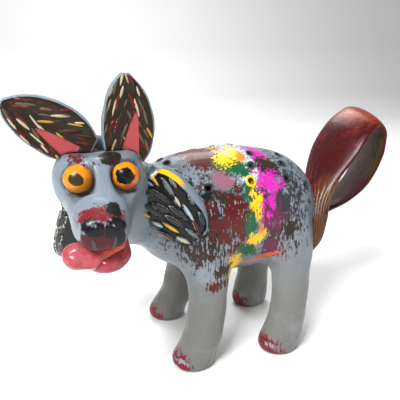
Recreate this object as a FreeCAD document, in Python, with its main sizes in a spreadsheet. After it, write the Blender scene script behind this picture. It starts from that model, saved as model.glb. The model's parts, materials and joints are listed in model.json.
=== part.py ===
"""Alebrije: an animal figure carved from copal wood in separate pieces, pegged, glued and painted.

Millimetres. +Z is up and the figure stands on Z = 0. Its body points along -X, its left side is
at -Y, and its head is turned a quarter turn to its left, so that its face looks along -Y.
The origin is on the ground, midway between the four feet.
"""

import FreeCAD, Part
import math
import os

import Sketcher
from FreeCAD import Placement, Rotation, Vector

DIMENSIONS = {
    # trunk: barrel, shoulders and rump, three ellipsoids carved as one
    "trunk_height": 74.0,
    "barrel_x": 3.0,
    "barrel_half_length": 47.0,
    "barrel_half_width": 29.5,
    "barrel_half_depth": 33.0,
    "shoulder_x": -22.0,
    "shoulder_half_length": 27.0,
    "shoulder_half_width": 26.5,
    "shoulder_half_depth": 29.0,
    "rump_x": 24.0,
    "rump_half_length": 27.5,
    "rump_half_width": 27.5,
    "rump_half_depth": 28.5,
    # head: skull, neck and muzzle in one carving
    "head_x": -65.0,
    "skull_y": -28.0,
    "skull_height": 103.5,
    "skull_half_width": 19.5,
    "skull_half_length": 20.0,
    "skull_half_depth": 18.0,
    "neck_half_length": 32.0,
    "neck_half_width": 18.0,
    "neck_half_depth": 21.0,
    "neck_height": 86.0,
    "muzzle_half_width": 8.4,
    "muzzle_half_depth": 6.4,
    "muzzle_tip_y": -70.0,
    "muzzle_tip_height": 92.0,
    # mouth
    "jaw_half_width": 8.4,
    "jaw_half_length": 18.0,
    "jaw_half_depth": 5.8,
    "jaw_y": -47.0,
    "jaw_height": 80.5,
    "tongue_half_length": 11.0,
    "tongue_half_width": 6.0,
    "tongue_half_depth": 4.3,
    "nostril_width": 3.0,
    "nostril_length": 9.0,
    # bead eyes
    "eye_radius": 5.8,
    "eye_spread": 9.0,
    "eye_y": -42.5,
    "eye_height": 106.5,
    # leaf-shaped slabs: ears and neck ruffs
    "ear_width": 21.5,
    "ear_length": 38.0,
    "ear_thickness": 6.5,
    "ear_edge": 1.5,
    "ear_hollow_depth": 2.5,
    "ear_hollow_radius": 6.0,
    "ear_y": -30.0,
    "ruff_width": 25.0,
    "ruff_length": 46.0,
    "ruff_thickness": 16.0,
    "ruff_edge": 3.0,
    # legs: an ellipse section carried down to a flat sole
    "leg_front_x": -14.5,
    "leg_rear_x": 31.5,
    "leg_track": 25.0,
    "leg_half_length": 10.2,
    "leg_half_width": 8.8,
    "haunch_half_length": 12.6,
    "haunch_half_width": 12.0,
    "haunch_half_depth": 15.0,
    "haunch_y": 18.0,
    "haunch_height": 59.0,
    # tail: a flat band looped up over the rump
    "tail_half_width": 18.0,
    "tail_half_thickness": 3.4,
    "tail_flare": 0.3,
    # dowels, pegs and brads
    "neck_dowel_radius": 4.0,
    "neck_dowel_length": 28.0,
    "leg_dowel_radius": 3.0,
    "leg_dowel_length": 22.0,
    "jaw_dowel_radius": 1.5,
    "jaw_dowel_length": 9.0,
    "ear_peg_radius": 1.5,
    "ear_peg_length": 18.0,
    "tail_peg_radius": 2.0,
    "tail_peg_length": 18.0,
    "peg_clearance": 0.05,
    "brad_radius": 0.7,
    "brad_length": 12.0,
    "brad_sink": 7.0,
    # decorative holes drilled over the back
    "pit_radius": 1.2,
    "pit_depth": 6.0,
    # room left by the glue, and between pieces that pull apart
    "glue_gap": 0.1,
    "pull_gap": 0.4,
}

LEFT, RIGHT = -1, 1

# How far above the surface a drilled hole's cylinder starts.
DRILL_START = 1.0

# Ears: where the leaf's root sits, and how far the leaf leans from upright towards -X.
EAR_ROOTS = {"left": (-53.5, 107.5, -1.0), "right": (-67.5, 115.0, 58.0)}

# Ruffs: root of the leaf, tip of the leaf, and the way its carved face looks.
RUFFS = {
    "left": (Vector(-46, -24, 103), Vector(-20, -27, 65), Vector(0.0, -1.0, 0.15)),
    "right": (Vector(-70, -4, 99), Vector(-82, 4, 57), Vector(-0.9, 0.4, -0.25)),
}

# Places of a ruff's two brads along its length.
BRAD_SHARES = (0.28, 0.5)

# Legs: which pair, which side, and how far the sole is set forward of the shin.
LEGS = {
    "leg_front_left": ("front", LEFT, 8.5),
    "leg_front_right": ("front", RIGHT, 11.0),
    "leg_rear_left": ("rear", LEFT, 6.5),
    "leg_rear_right": ("rear", RIGHT, 2.5),
}

# Leg stations: height, share of the forward set, share of the shin's size, distance from mid-plane.
LEG_STATIONS = [
    (0.0, 1.0, 0.93, 1.0),
    (5.0, 1.0, 1.17, 1.0),
    (12.0, 0.62, 1.08, 1.0),
    (20.0, 0.3, 1.0, 1.0),
    (34.0, 0.1, 0.98, 0.98),
    (46.0, 0.0, 1.08, 0.88),
    (57.0, 0.0, 1.16, 0.74),
]

# A shin widens no further than this share of its width.
WIDEST_SHIN = 1.05

# Tail stations along its loop: x, y, height, share of the full width, share of the full thickness.
TAIL_STATIONS = [
    (44.0, 8.0, 60.5, 0.3, 1.25),
    (56.0, 9.5, 62.0, 0.46, 1.15),
    (68.0, 13.0, 64.5, 0.7, 1.05),
    (79.5, 11.5, 70.5, 0.88, 1.0),
    (88.5, 9.5, 80.0, 1.03, 1.0),
    (93.5, 7.6, 92.0, 1.11, 1.0),
    (94.5, 5.0, 105.0, 1.06, 1.0),
    (90.5, 1.7, 116.0, 0.87, 1.0),
    (82.0, -1.0, 120.0, 0.8, 1.0),
    (73.0, -2.2, 114.5, 0.85, 1.0),
    (64.5, -3.6, 103.5, 0.86, 1.0),
    (57.0, -6.6, 91.5, 0.7, 1.05),
    (51.5, -12.3, 80.0, 0.48, 1.25),
    (48.0, -18.0, 69.5, 0.34, 1.35),
    (45.5, -20.5, 60.5, 0.265, 1.05),
    (42.0, -21.0, 52.5, 0.11, 0.5),
]

# Drilled holes: a point near each hole's mouth on the back.
PITS = [
    (-32.7, 8.0, 102.7), (-29.8, 7.0, 96.8), (-29.4, -10.0, 94.0), (-23.6, -18.0, 91.0),
    (-14.8, -22.0, 92.0), (6.5, -23.0, 94.7), (11.0, -10.0, 104.6), (28.0, -6.5, 101.0),
    (27.0, -13.0, 98.0), (26.5, -20.0, 93.0), (38.0, -17.0, 87.0), (-15.0, 7.4, 107.0),
    (-3.0, 6.0, 107.0), (4.5, 3.2, 107.0), (8.9, -17.0, 100.0),
]

doc = FreeCAD.newDocument("alebrije")
sheet = doc.addObject("Spreadsheet::Sheet", "dims")


def fill_sheet():
    """Put every driving dimension in the sheet under its own alias."""
    for row, (alias, value) in enumerate(DIMENSIONS.items(), start=1):
        sheet.set(f"A{row}", alias)
        sheet.set(f"B{row}", str(value))
        sheet.setAlias(f"B{row}", alias)
    doc.recompute()


def size(alias):
    """Read one dimension back from the sheet."""
    return float(sheet.get(alias))


def turned_to(direction):
    """The rotation that carries +Z onto a direction."""
    return Rotation(Vector(0, 0, 1), Vector(*direction))


def primitive(kind, name, expressions, base, rotation=None):
    """A Part primitive whose sizes are bound to the sheet."""
    solid = doc.addObject(f"Part::{kind}", name)
    for prop, expression in expressions.items():
        solid.setExpression(prop, expression)
    solid.Placement = Placement(Vector(*base), rotation or Rotation())
    return solid


def ellipsoid(name, base, half_x, half_y, half_z, rotation=None, grow=None):
    """An ellipsoid given by three cell names; grow adds one more cell all round."""
    extra = f" + dims.{grow}" if grow else ""
    solid = primitive("Ellipsoid", name, {}, base, rotation)
    solid.Angle1 = -90
    solid.Angle2 = 90
    solid.setExpression("Radius1", f"dims.{half_z}{extra}")
    solid.setExpression("Radius2", f"dims.{half_x}{extra}")
    solid.setExpression("Radius3", f"dims.{half_y}{extra}")
    return solid


def cylinder(name, radius, length, centre, direction, clearance=None):
    """A cylinder about its centre, for a peg, a dowel, or with clearance for its bore."""
    extra = f" + dims.{clearance}" if clearance else ""
    axis = Vector(*direction).normalize()
    start = Vector(*centre) - axis * (size(length) / 2 + (size(clearance) if clearance else 0))
    sizes = {"Radius": f"dims.{radius}{extra}", "Height": f"dims.{length}"}
    if clearance:
        sizes["Height"] += f" + 2 * dims.{clearance}"
    return primitive("Cylinder", name, sizes, start, turned_to(axis))


def fuse(name, shapes):
    result = doc.addObject("Part::MultiFuse", name)
    result.Shapes = shapes
    return result


def cut(name, base, tools):
    """Cut the tools from the base one after another; the last cut carries the node's name."""
    result = base
    for index, tool in enumerate(tools, start=1):
        step = doc.addObject("Part::Cut", name if index == len(tools) else f"{name}_cut_{index}")
        step.Base = result
        step.Tool = tool
        result = step
    return result


def trunk(name, grow=None):
    """Barrel, shoulders and rump together; grow leaves room around them."""
    height = size("trunk_height")
    parts = []
    for zone in ("barrel", "shoulder", "rump"):
        halves = [f"{zone}_half_{way}" for way in ("length", "width", "depth")]
        parts.append(ellipsoid(f"{name}_{zone}", (size(f"{zone}_x"), 0, height), *halves, grow=grow))
    return fuse(name, parts)


def neck_direction():
    """From the chest up to the back of the skull."""
    return Vector(-0.62, -0.58, 0.53).normalize()


def neck_centre():
    return Vector(-50.0, -11.0, size("neck_height"))


def muzzle(name, grow):
    """Ellipse sections from the brow to the nose, lofted."""
    tip_y, tip_height = size("muzzle_tip_y"), size("muzzle_tip_height")
    brow_y, brow_height = size("eye_y") + 4, size("eye_height") - 6.5
    sections = []
    steps = [(0.0, 1.55), (0.35, 1.22), (0.7, 1.05), (0.92, 0.95), (1.0, 0.72)]
    for index, (along, swell) in enumerate(steps):
        middle = Vector(size("head_x"), brow_y + along * (tip_y - brow_y),
                        brow_height + along * (tip_height - brow_height))
        ring = doc.addObject("Part::Ellipse", f"{name}_section_{index}")
        ring.setExpression("MajorRadius", f"dims.muzzle_half_width * {swell} + {grow}")
        ring.setExpression("MinorRadius", f"dims.muzzle_half_depth * {swell} + {grow}")
        ring.Placement = Placement(middle, Rotation(Vector(1, 0, 0), 90))
        sections.append(ring)
    loft = doc.addObject("Part::Loft", name)
    loft.Sections = sections
    loft.Solid = True
    return loft


def head_form(name, grow=None):
    """Skull, neck and muzzle together; grow leaves room around them."""
    skull = ellipsoid(f"{name}_skull", (size("head_x"), size("skull_y"), size("skull_height")),
                      "skull_half_width", "skull_half_length", "skull_half_depth", grow=grow)
    neck = ellipsoid(f"{name}_neck", neck_centre(), "neck_half_width", "neck_half_depth",
                     "neck_half_length", turned_to(neck_direction()), grow=grow)
    return fuse(name, [skull, neck, muzzle(f"{name}_muzzle", size(grow) if grow else 0.0)])


def jaw_form(name, grow=None):
    base = (size("head_x") - 0.5, size("jaw_y"), size("jaw_height"))
    return ellipsoid(name, base, "jaw_half_width", "jaw_half_length", "jaw_half_depth",
                     Rotation(Vector(1, 0, 0), 8), grow=grow)


def tongue_form(name, grow=None):
    """The tongue lies in the mouth and hangs out to the figure's right."""
    lean = Rotation(Vector(0, 0, 1), -20) * Rotation(Vector(0, 1, 0), -14)
    return ellipsoid(name, (-71.0, -59.0, 81.5), "tongue_half_length", "tongue_half_width",
                     "tongue_half_depth", lean, grow=grow)


def leg_pose(leg):
    """Shin position of one leg: x, and signed distance from the mid-plane."""
    pair, side, _ = LEGS[leg]
    return size(f"leg_{pair}_x"), side * size("leg_track")


def leg_dowel(leg, clearance=None):
    x, y = leg_pose(leg)
    name = f"{leg}_dowel_bore" if clearance else f"{leg}_dowel"
    return cylinder(name, "leg_dowel_radius", "leg_dowel_length", (x, 0.76 * y, 53.0), (0, 0, 1), clearance)


def neck_dowel(name, clearance=None):
    middle = neck_centre() - neck_direction() * 12
    return cylinder(name, "neck_dowel_radius", "neck_dowel_length", middle, neck_direction(), clearance)


def jaw_dowel(name, clearance=None):
    middle = (size("head_x"), size("jaw_y") + 6, size("jaw_height") + 3)
    return cylinder(name, "jaw_dowel_radius", "jaw_dowel_length", middle, (0, 0, 1), clearance)


def ear_axis(side):
    lean = math.radians(EAR_ROOTS[side][2])
    return Vector(-math.sin(lean), 0, math.cos(lean))


def ear_peg(side, name, clearance=None):
    """Half of the peg is glued in the ear and half plugs into the skull."""
    x, z, _ = EAR_ROOTS[side]
    middle = Vector(x, size("ear_y"), z) + ear_axis(side) * 7
    return cylinder(name, "ear_peg_radius", "ear_peg_length", middle, ear_axis(side), clearance)


def tail_axis():
    """The way the tail pulls out of the rump."""
    return Vector(0.97, 0.0, 0.243).normalize()


def tail_peg(name, clearance=None):
    middle = Vector(*TAIL_STATIONS[0][:3]) + tail_axis() * 5
    return cylinder(name, "tail_peg_radius", "tail_peg_length", middle, tail_axis(), clearance)


def leaf_sketch(body, name, width, length):
    """A leaf in the XZ plane: a round base at the origin and two long arcs that meet at the tip."""
    plane = next(o for o in body.Origin.OriginFeatures if o.Role == "XZ_Plane")
    sketch = body.newObject("Sketcher::SketchObject", name)
    sketch.AttachmentSupport = [(plane, "")]
    sketch.MapMode = "FlatFace"
    half, tip = size(width) / 2, size(length)
    side_radius = (half ** 2 + (tip - half) ** 2) / (2 * half)
    sweep = math.asin((tip - half) / side_radius)
    up = Vector(0, 0, 1)
    base = Part.ArcOfCircle(Part.Circle(Vector(0, half, 0), up, half), math.pi, 2 * math.pi)
    right_side = Part.ArcOfCircle(
        Part.Circle(Vector(half - side_radius, half, 0), up, side_radius), 0, sweep)
    left_side = Part.ArcOfCircle(
        Part.Circle(Vector(side_radius - half, half, 0), up, side_radius), math.pi - sweep, math.pi)
    for arc in (base, right_side, left_side):
        sketch.addGeometry(arc, False)
    start, end, centre = 1, 2, 3
    sketch.addConstraint([
        Sketcher.Constraint("Tangent", 0, end, 1, start),
        Sketcher.Constraint("Tangent", 0, start, 2, end),
        Sketcher.Constraint("Coincident", 1, end, 2, start),
        Sketcher.Constraint("PointOnObject", 0, centre, -2),
        Sketcher.Constraint("PointOnObject", 1, end, -2),
        Sketcher.Constraint("Horizontal", 0, start, 0, end),
        Sketcher.Constraint("Radius", 0, half),
        Sketcher.Constraint("DistanceY", -1, 1, 0, centre, half),
        Sketcher.Constraint("DistanceY", -1, 1, 1, end, tip),
    ])
    sketch.setExpression("Constraints[6]", f"dims.{width} / 2")
    sketch.setExpression("Constraints[7]", f"dims.{width} / 2")
    sketch.setExpression("Constraints[8]", f"dims.{length}")
    return sketch


def leaf_body(name, kind, place):
    """A leaf slab of one kind, ear or ruff, centred on its own XZ plane, with its rims rounded."""
    body = doc.addObject("PartDesign::Body", name)
    pad = body.newObject("PartDesign::Pad", f"{name}_pad")
    pad.Profile = leaf_sketch(body, f"{name}_outline", f"{kind}_width", f"{kind}_length")
    pad.Midplane = True
    pad.setExpression("Length", f"dims.{kind}_thickness")
    doc.recompute()
    rims = [f"Edge{i}" for i, edge in enumerate(pad.Shape.Edges, start=1)
            if abs(edge.Vertexes[0].Y - edge.Vertexes[-1].Y) < size(f"{kind}_edge")]
    rounded = body.newObject("PartDesign::Chamfer", f"{name}_rim")
    rounded.Base = (pad, rims)
    rounded.setExpression("Size", f"dims.{kind}_edge")
    body.Tip = rounded
    body.Placement = place
    return body


def build_torso():
    """The trunk with its bores and the drilled holes of the back."""
    tools = [leg_dowel(leg, "peg_clearance") for leg in LEGS]
    tools.append(neck_dowel("torso_neck_bore", "peg_clearance"))
    tools.append(tail_peg("torso_tail_bore", "peg_clearance"))
    tools += ruff_brads("torso", "peg_clearance")
    for index, mouth in enumerate(PITS):
        outward = trunk_normal(mouth)
        centre = surface_point(mouth) - outward * (size("pit_depth") / 2 - DRILL_START)
        tools.append(cylinder(f"pit_{index}", "pit_radius", "pit_depth", centre, outward))
    return cut("torso", trunk("torso_form"), tools)


def zone_values(zone):
    centre = Vector(size(f"{zone}_x"), 0, size("trunk_height"))
    halves = [size(f"{zone}_half_{way}") for way in ("length", "width", "depth")]
    return centre, halves


def level(point, zone):
    """Below one inside an ellipsoid of the trunk, above one outside it."""
    centre, halves = zone_values(zone)
    return sum(((point[i] - centre[i]) / halves[i]) ** 2 for i in range(3))


def surface_point(mouth):
    """Where the line from the trunk's middle through a mouth leaves the trunk."""
    middle = Vector(mouth[0] * 0.8, 0, size("trunk_height"))
    ray = Vector(*mouth) - middle
    inside, outside = 0.5, 1.6
    for _ in range(40):
        share = (inside + outside) / 2
        point = middle + ray * share
        if min(level(point, zone) for zone in ("barrel", "shoulder", "rump")) < 1:
            inside = share
        else:
            outside = share
    return middle + ray * inside


def trunk_normal(mouth):
    """The way the trunk faces at a drilled hole."""
    point = surface_point(mouth)
    zone = min(("barrel", "shoulder", "rump"), key=lambda name: level(point, name))
    centre, halves = zone_values(zone)
    return Vector(*[(point[i] - centre[i]) / halves[i] ** 2 for i in range(3)]).normalize()


def build_head():
    """The head carving with its eye sockets, mouth, nostrils and bores."""
    tools = [
        trunk("head_seat", "glue_gap"),
        jaw_form("head_jaw_room", "glue_gap"),
        tongue_form("head_tongue_room", "glue_gap"),
        neck_dowel("head_neck_bore", "peg_clearance"),
        jaw_dowel("head_jaw_bore", "peg_clearance"),
        *ruff_brads("head", "peg_clearance"),
    ]
    for side in ("left", "right"):
        tools.append(eye_bead(f"head_socket_{side}", side, "glue_gap"))
        tools.append(ear_peg(side, f"head_ear_bore_{side}", "peg_clearance"))
        tools.append(nostril(side))
    return cut("head", head_form("head_form"), tools)


def eye_bead(name, side, grow=None):
    offset = size("eye_spread") * (1 if side == "left" else -1)
    extra = f" + dims.{grow}" if grow else ""
    base = (size("head_x") + offset, size("eye_y"), size("eye_height"))
    seam_inward = Rotation(Vector(0, 0, 1), 75)
    return primitive("Sphere", name, {"Radius": f"dims.eye_radius{extra}"}, base, seam_inward)


def nostril(side):
    """A wedge notch that opens at the lip, one each side of the muzzle's front."""
    sign = 1 if side == "left" else -1
    centre = Vector(size("head_x") + sign * size("muzzle_half_width") * 0.42,
                    size("muzzle_tip_y") - 1.0, size("muzzle_tip_height") - size("muzzle_half_depth") * 0.6)
    slot = primitive("Box", f"nostril_{side}", {
        "Length": "dims.nostril_width",
        "Width": "dims.nostril_width",
        "Height": "dims.nostril_length",
    }, (0, 0, 0))
    turn = Rotation(Vector(0, 1, 0), -16 * sign)
    half = Vector(size("nostril_width") / 2, 0, size("nostril_length") / 2)
    slot.Placement = Placement(centre - turn.multVec(half), turn)
    return slot


def build_jaw():
    tools = [
        head_form("jaw_head_room", "glue_gap"),
        tongue_form("jaw_tongue_room", "glue_gap"),
        jaw_dowel("jaw_bore", "peg_clearance"),
    ]
    return cut("lower_jaw", jaw_form("jaw_form"), tools)


def build_ear(side):
    """A leaf ear with a hollow in its lower face, seated on the skull and drilled for its peg."""
    x, z, lean = EAR_ROOTS[side]
    place = Placement(Vector(x, size("ear_y"), z), Rotation(Vector(0, 1, 0), -lean))
    leaf = leaf_body(f"ear_{side}_leaf", "ear", place)
    along = size("ear_width") * 0.45
    face = size("ear_y") - size("ear_thickness") / 2
    middle = Vector(x, 0, z) + ear_axis(side) * along
    hollow = primitive("Cone", f"ear_{side}_hollow", {
        "Radius1": "dims.ear_hollow_radius",
        "Radius2": "dims.ear_hollow_radius * 0.35",
        "Height": "dims.ear_hollow_depth",
    }, (middle.x, face, middle.z), turned_to((0, 1, 0)))
    tools = [hollow, head_form(f"ear_{side}_seat", "pull_gap"),
             ear_peg(side, f"ear_{side}_bore", "peg_clearance")]
    return cut(f"ear_{side}", leaf, tools)


def ruff_frame(side):
    """Placement of a ruff leaf: its root, its length along the leaf, its face outward."""
    root, tip, face = RUFFS[side]
    along = (tip - root).normalize()
    outward = (face - along * face.dot(along)).normalize()
    across = outward.cross(along) * -1
    turn = Rotation(across, outward * -1, along, "ZYX")
    return Placement(root, turn), along, outward


def ruff_brads(owner, clearance=None):
    """Headless brads driven through the ruffs into the wood behind them, two to a ruff."""
    brads = []
    for side in ("left", "right"):
        place, along, outward = ruff_frame(side)
        for index, share in enumerate(BRAD_SHARES):
            centre = place.Base + along * (share * size("ruff_length")) - outward * size("brad_sink")
            name = f"{owner}_brad_{side}_{index}"
            brads.append(cylinder(name, "brad_radius", "brad_length", centre, outward, clearance))
    return brads


def build_ruff(side):
    place = ruff_frame(side)[0]
    leaf = leaf_body(f"ruff_{side}_leaf", "ruff", place)
    tools = [trunk(f"ruff_{side}_trunk_room", "glue_gap"), head_form(f"ruff_{side}_head_room", "glue_gap")]
    tools.append(leg_form(f"leg_front_{side}", f"ruff_{side}_leg_room", "glue_gap"))
    tools += ruff_brads(f"ruff_{side}", "peg_clearance")
    return cut(f"ruff_{side}", leaf, tools)


def leg_form(leg, name, grow=None):
    """A leg lofted through ellipse sections, with the haunch that swells where it meets the trunk."""
    pair, side, reach = LEGS[leg]
    x, y = leg_pose(leg)
    extra = f" + dims.{grow}" if grow else ""
    sections = []
    for index, (height, forward, swell, track) in enumerate(LEG_STATIONS):
        ring = doc.addObject("Part::Ellipse", f"{name}_section_{index}")
        ring.setExpression("MajorRadius", f"dims.leg_half_length * {swell}{extra}")
        ring.setExpression("MinorRadius", f"dims.leg_half_width * {min(swell, WIDEST_SHIN)}{extra}")
        ring.Placement.Base = Vector(x - forward * reach, y * track, height)
        sections.append(ring)
    shin = doc.addObject("Part::Loft", f"{name}_shin")
    shin.Sections = sections
    shin.Solid = True
    middle = (size(f"leg_{pair}_x"), side * size("haunch_y"), size("haunch_height"))
    haunch = ellipsoid(f"{name}_haunch", middle, "haunch_half_length", "haunch_half_width",
                       "haunch_half_depth", grow=grow)
    return fuse(name, [shin, haunch])


def build_leg(leg):
    """A leg seated on the trunk and drilled for its dowel."""
    tools = [trunk(f"{leg}_seat", "glue_gap"), leg_dowel(leg, "peg_clearance")]
    return cut(leg, leg_form(leg, f"{leg}_form"), tools)


def build_tail():
    """The tail band lofted along its loop, seated on the rump and drilled for its peg."""
    points = [Vector(*station[:3]) for station in TAIL_STATIONS]
    flare = size("tail_flare")
    sections = []
    for index, (point, station) in enumerate(zip(points, TAIL_STATIONS)):
        before = points[max(index - 1, 0)]
        after = points[min(index + 1, len(points) - 1)]
        along = (after - before).normalize()
        outward = Vector(0, 1, 0).cross(along).normalize()
        across = Vector(0, 1, 0) + outward * (flare * station[3])
        across = (across - along * across.dot(along)).normalize()
        turn = Rotation(across, along.cross(across), along, "ZXY")
        ring = doc.addObject("Part::Ellipse", f"tail_section_{index}")
        ring.setExpression("MajorRadius", f"dims.tail_half_width * {station[3]}")
        ring.setExpression("MinorRadius", f"dims.tail_half_thickness * {min(station[4], station[3] * 4)}")
        ring.Placement = Placement(point, turn)
        sections.append(ring)
    band = doc.addObject("Part::Loft", "tail_band")
    band.Sections = sections
    band.Solid = True
    tools = [trunk("tail_seat", "pull_gap"), leg_form("leg_rear_left", "tail_leg_room", "pull_gap"),
             tail_peg("tail_bore", "peg_clearance")]
    return cut("tail", band, tools)


def build_all():
    """Every piece of the figure, by node name."""
    torso = build_torso()
    nodes = {"torso": torso, "head": build_head(), "lower_jaw": build_jaw()}
    nodes["tongue"] = tongue_form("tongue")
    nodes["neck_dowel"] = neck_dowel("neck_dowel")
    nodes["jaw_dowel"] = jaw_dowel("jaw_dowel")
    for side in ("left", "right"):
        nodes[f"eye_{side}"] = eye_bead(f"eye_{side}", side)
        nodes[f"ear_{side}"] = build_ear(side)
        nodes[f"ear_peg_{side}"] = ear_peg(side, f"ear_peg_{side}")
        nodes[f"ruff_{side}"] = build_ruff(side)
    for leg in LEGS:
        nodes[leg] = build_leg(leg)
    nodes["tail"] = build_tail()
    nodes["tail_peg"] = tail_peg("tail_peg")
    nodes["leg_dowels"] = group("leg_dowels", [leg_dowel(leg) for leg in LEGS])
    nodes["ruff_brads"] = group("ruff_brads", ruff_brads("ruff"))
    return nodes


def group(name, solids):
    """Separate like solids under one node."""
    result = doc.addObject("Part::Compound", name)
    result.Links = solids
    return result


def export(nodes):
    """Check every object of the document, then write one file for each node."""
    doc.recompute()
    failed = [item.Name for item in doc.Objects if {"Invalid", "Error"} & set(item.State)]
    if failed:
        raise RuntimeError(f"features that failed: {failed}")
    for name, node in nodes.items():
        node.Label = name
        if node.Shape.isNull() or not node.Shape.isValid():
            raise RuntimeError(f"{name} has no valid shape")
        print(name, len(node.Shape.Solids), round(node.Shape.Volume, 1))
    os.makedirs("parts", exist_ok=True)
    for name, node in nodes.items():
        node.Shape.exportStep(f"parts/{name}.step")


fill_sheet()
export(build_all())
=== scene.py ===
"""Looks of the carved alebrije figure: carved wood surfaces, brushed gloss paint and a varnished tail.

Lengths are millimetres in the part's frame until a mesh is written, and metres after that.
+Z is up, the body points along -X, its left side is at -Y, and the head faces -Y.
"""

import json
import math

import bpy
import numpy as np
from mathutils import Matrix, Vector


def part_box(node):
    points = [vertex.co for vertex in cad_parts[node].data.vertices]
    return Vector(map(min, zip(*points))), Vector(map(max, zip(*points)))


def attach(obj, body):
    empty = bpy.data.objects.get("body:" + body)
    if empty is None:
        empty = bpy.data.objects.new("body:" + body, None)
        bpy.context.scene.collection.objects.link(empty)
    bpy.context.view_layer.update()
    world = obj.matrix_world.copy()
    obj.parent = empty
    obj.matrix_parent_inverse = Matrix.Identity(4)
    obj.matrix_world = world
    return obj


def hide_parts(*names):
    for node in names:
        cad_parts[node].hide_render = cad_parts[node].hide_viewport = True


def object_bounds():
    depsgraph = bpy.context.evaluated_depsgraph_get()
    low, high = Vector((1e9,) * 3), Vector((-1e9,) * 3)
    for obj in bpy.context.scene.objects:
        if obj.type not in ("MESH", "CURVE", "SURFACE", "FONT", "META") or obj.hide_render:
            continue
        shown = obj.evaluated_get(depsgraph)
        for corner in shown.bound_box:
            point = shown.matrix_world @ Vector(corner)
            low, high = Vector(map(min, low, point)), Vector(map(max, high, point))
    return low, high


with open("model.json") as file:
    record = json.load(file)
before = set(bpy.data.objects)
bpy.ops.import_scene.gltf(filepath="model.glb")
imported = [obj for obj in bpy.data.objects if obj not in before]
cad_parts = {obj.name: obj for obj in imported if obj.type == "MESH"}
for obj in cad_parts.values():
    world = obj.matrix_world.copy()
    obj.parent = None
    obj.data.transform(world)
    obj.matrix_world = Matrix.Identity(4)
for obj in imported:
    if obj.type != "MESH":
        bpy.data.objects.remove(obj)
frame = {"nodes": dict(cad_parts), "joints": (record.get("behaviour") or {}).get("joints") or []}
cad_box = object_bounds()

MM = 0.001
LEFT, RIGHT = -1, 1

# Lattice steps of the carved surfaces, finer where the carving is finer.
COARSE_STEP = 0.62
FINE_STEP = 0.42


# ---------------------------------------------------------------- places read from the frame

def corners(node):
    """Lowest and highest corner of a CAD node, in millimetres."""
    low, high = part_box(node)
    return np.array(low) / MM, np.array(high) / MM


def centre_of(node):
    low, high = corners(node)
    return (low + high) / 2


def pull_axis(joint_name):
    joint = next(j for j in frame["joints"] if j["name"] == joint_name)
    axis = np.array(joint["axis"], float)
    return axis / np.linalg.norm(axis)


BOX_LOW, BOX_HIGH = (np.array(corner) / MM for corner in cad_box)
TORSO_LOW, TORSO_HIGH = corners("torso")
TRUNK_HEIGHT = (TORSO_LOW[2] + TORSO_HIGH[2]) / 2
HALF_WIDTH = (TORSO_HIGH[1] - TORSO_LOW[1]) / 2
HALF_DEPTH = (TORSO_HIGH[2] - TORSO_LOW[2]) / 2
EYES = {side: centre_of(f"eye_{side}") for side in ("left", "right")}
EYE_RADIUS = (corners("eye_left")[1] - corners("eye_left")[0])[0] / 2
HEAD_X = (EYES["left"][0] + EYES["right"][0]) / 2
NOSE_Y = corners("head")[0][1]


# ---------------------------------------------------------------- carving with distance fields

class Lattice:
    """Regular points around a box; x, y and z broadcast against each other."""

    def __init__(self, low, high, step):
        self.step = step
        self.low = np.array(low, float) - 2 * step
        counts = np.ceil((np.array(high, float) + 2 * step - self.low) / step).astype(int) + 1
        lines = [self.low[i] + step * np.arange(counts[i]) for i in range(3)]
        self.x = lines[0][:, None, None]
        self.y = lines[1][None, :, None]
        self.z = lines[2][None, None, :]
        self.shape = tuple(counts)

    def points(self):
        return self.x, self.y, self.z


def about(p, centre, axes):
    """Coordinates of the points about a centre, along three given unit axes."""
    d = [p[i] - centre[i] for i in range(3)]
    return [d[0] * a[0] + d[1] * a[1] + d[2] * a[2] for a in axes]


def ellipsoid(p, centre, halves, axes=None):
    d = [p[i] - centre[i] for i in range(3)] if axes is None else about(p, centre, axes)
    near = np.sqrt(sum((d[i] / halves[i]) ** 2 for i in range(3)))
    slope = np.sqrt(sum((d[i] / halves[i] ** 2) ** 2 for i in range(3)))
    return near * (near - 1) / np.maximum(slope, 1e-6)


def about_axis(p, centre, axis):
    """Height of every point along an axis through the centre, and its distance from that axis."""
    d = [p[i] - centre[i] for i in range(3)]
    height = sum(d[i] * axis[i] for i in range(3))
    return height, np.sqrt(np.maximum(sum(c * c for c in d) - height ** 2, 0))


def rod(p, a, b, radius_a, radius_b):
    """A round rod from a to b whose radius changes evenly."""
    way = np.array(b, float) - np.array(a, float)
    share = sum((p[i] - a[i]) * way[i] for i in range(3)) / way.dot(way)
    share = np.clip(share, 0, 1)
    reach = np.sqrt(sum((p[i] - a[i] - share * way[i]) ** 2 for i in range(3)))
    return reach - (radius_a + (radius_b - radius_a) * share)


def join(a, b, blend):
    """Union of two solids with a fillet about as wide as blend."""
    share = np.clip(0.5 + 0.5 * (b - a) / blend, 0, 1)
    return b + (a - b) * share - blend * share * (1 - share)


def carve(a, b, blend):
    """Solid a with solid b cut away, its edge eased by blend."""
    return -join(-a, b, blend)


def limit(a, b, blend):
    """The part that two solids share, its edge eased by blend."""
    return -join(-a, -b, blend)


def step_up(t, low, high):
    t = np.clip((t - low) / (high - low), 0, 1)
    return t * t * (3 - 2 * t)


CORNERS = np.array([(i, j, k) for i in (0, 1) for j in (0, 1) for k in (0, 1)])
EDGES = [(a, b) for a in range(8) for b in range(a, 8) if np.abs(CORNERS[a] - CORNERS[b]).sum() == 1]


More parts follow.
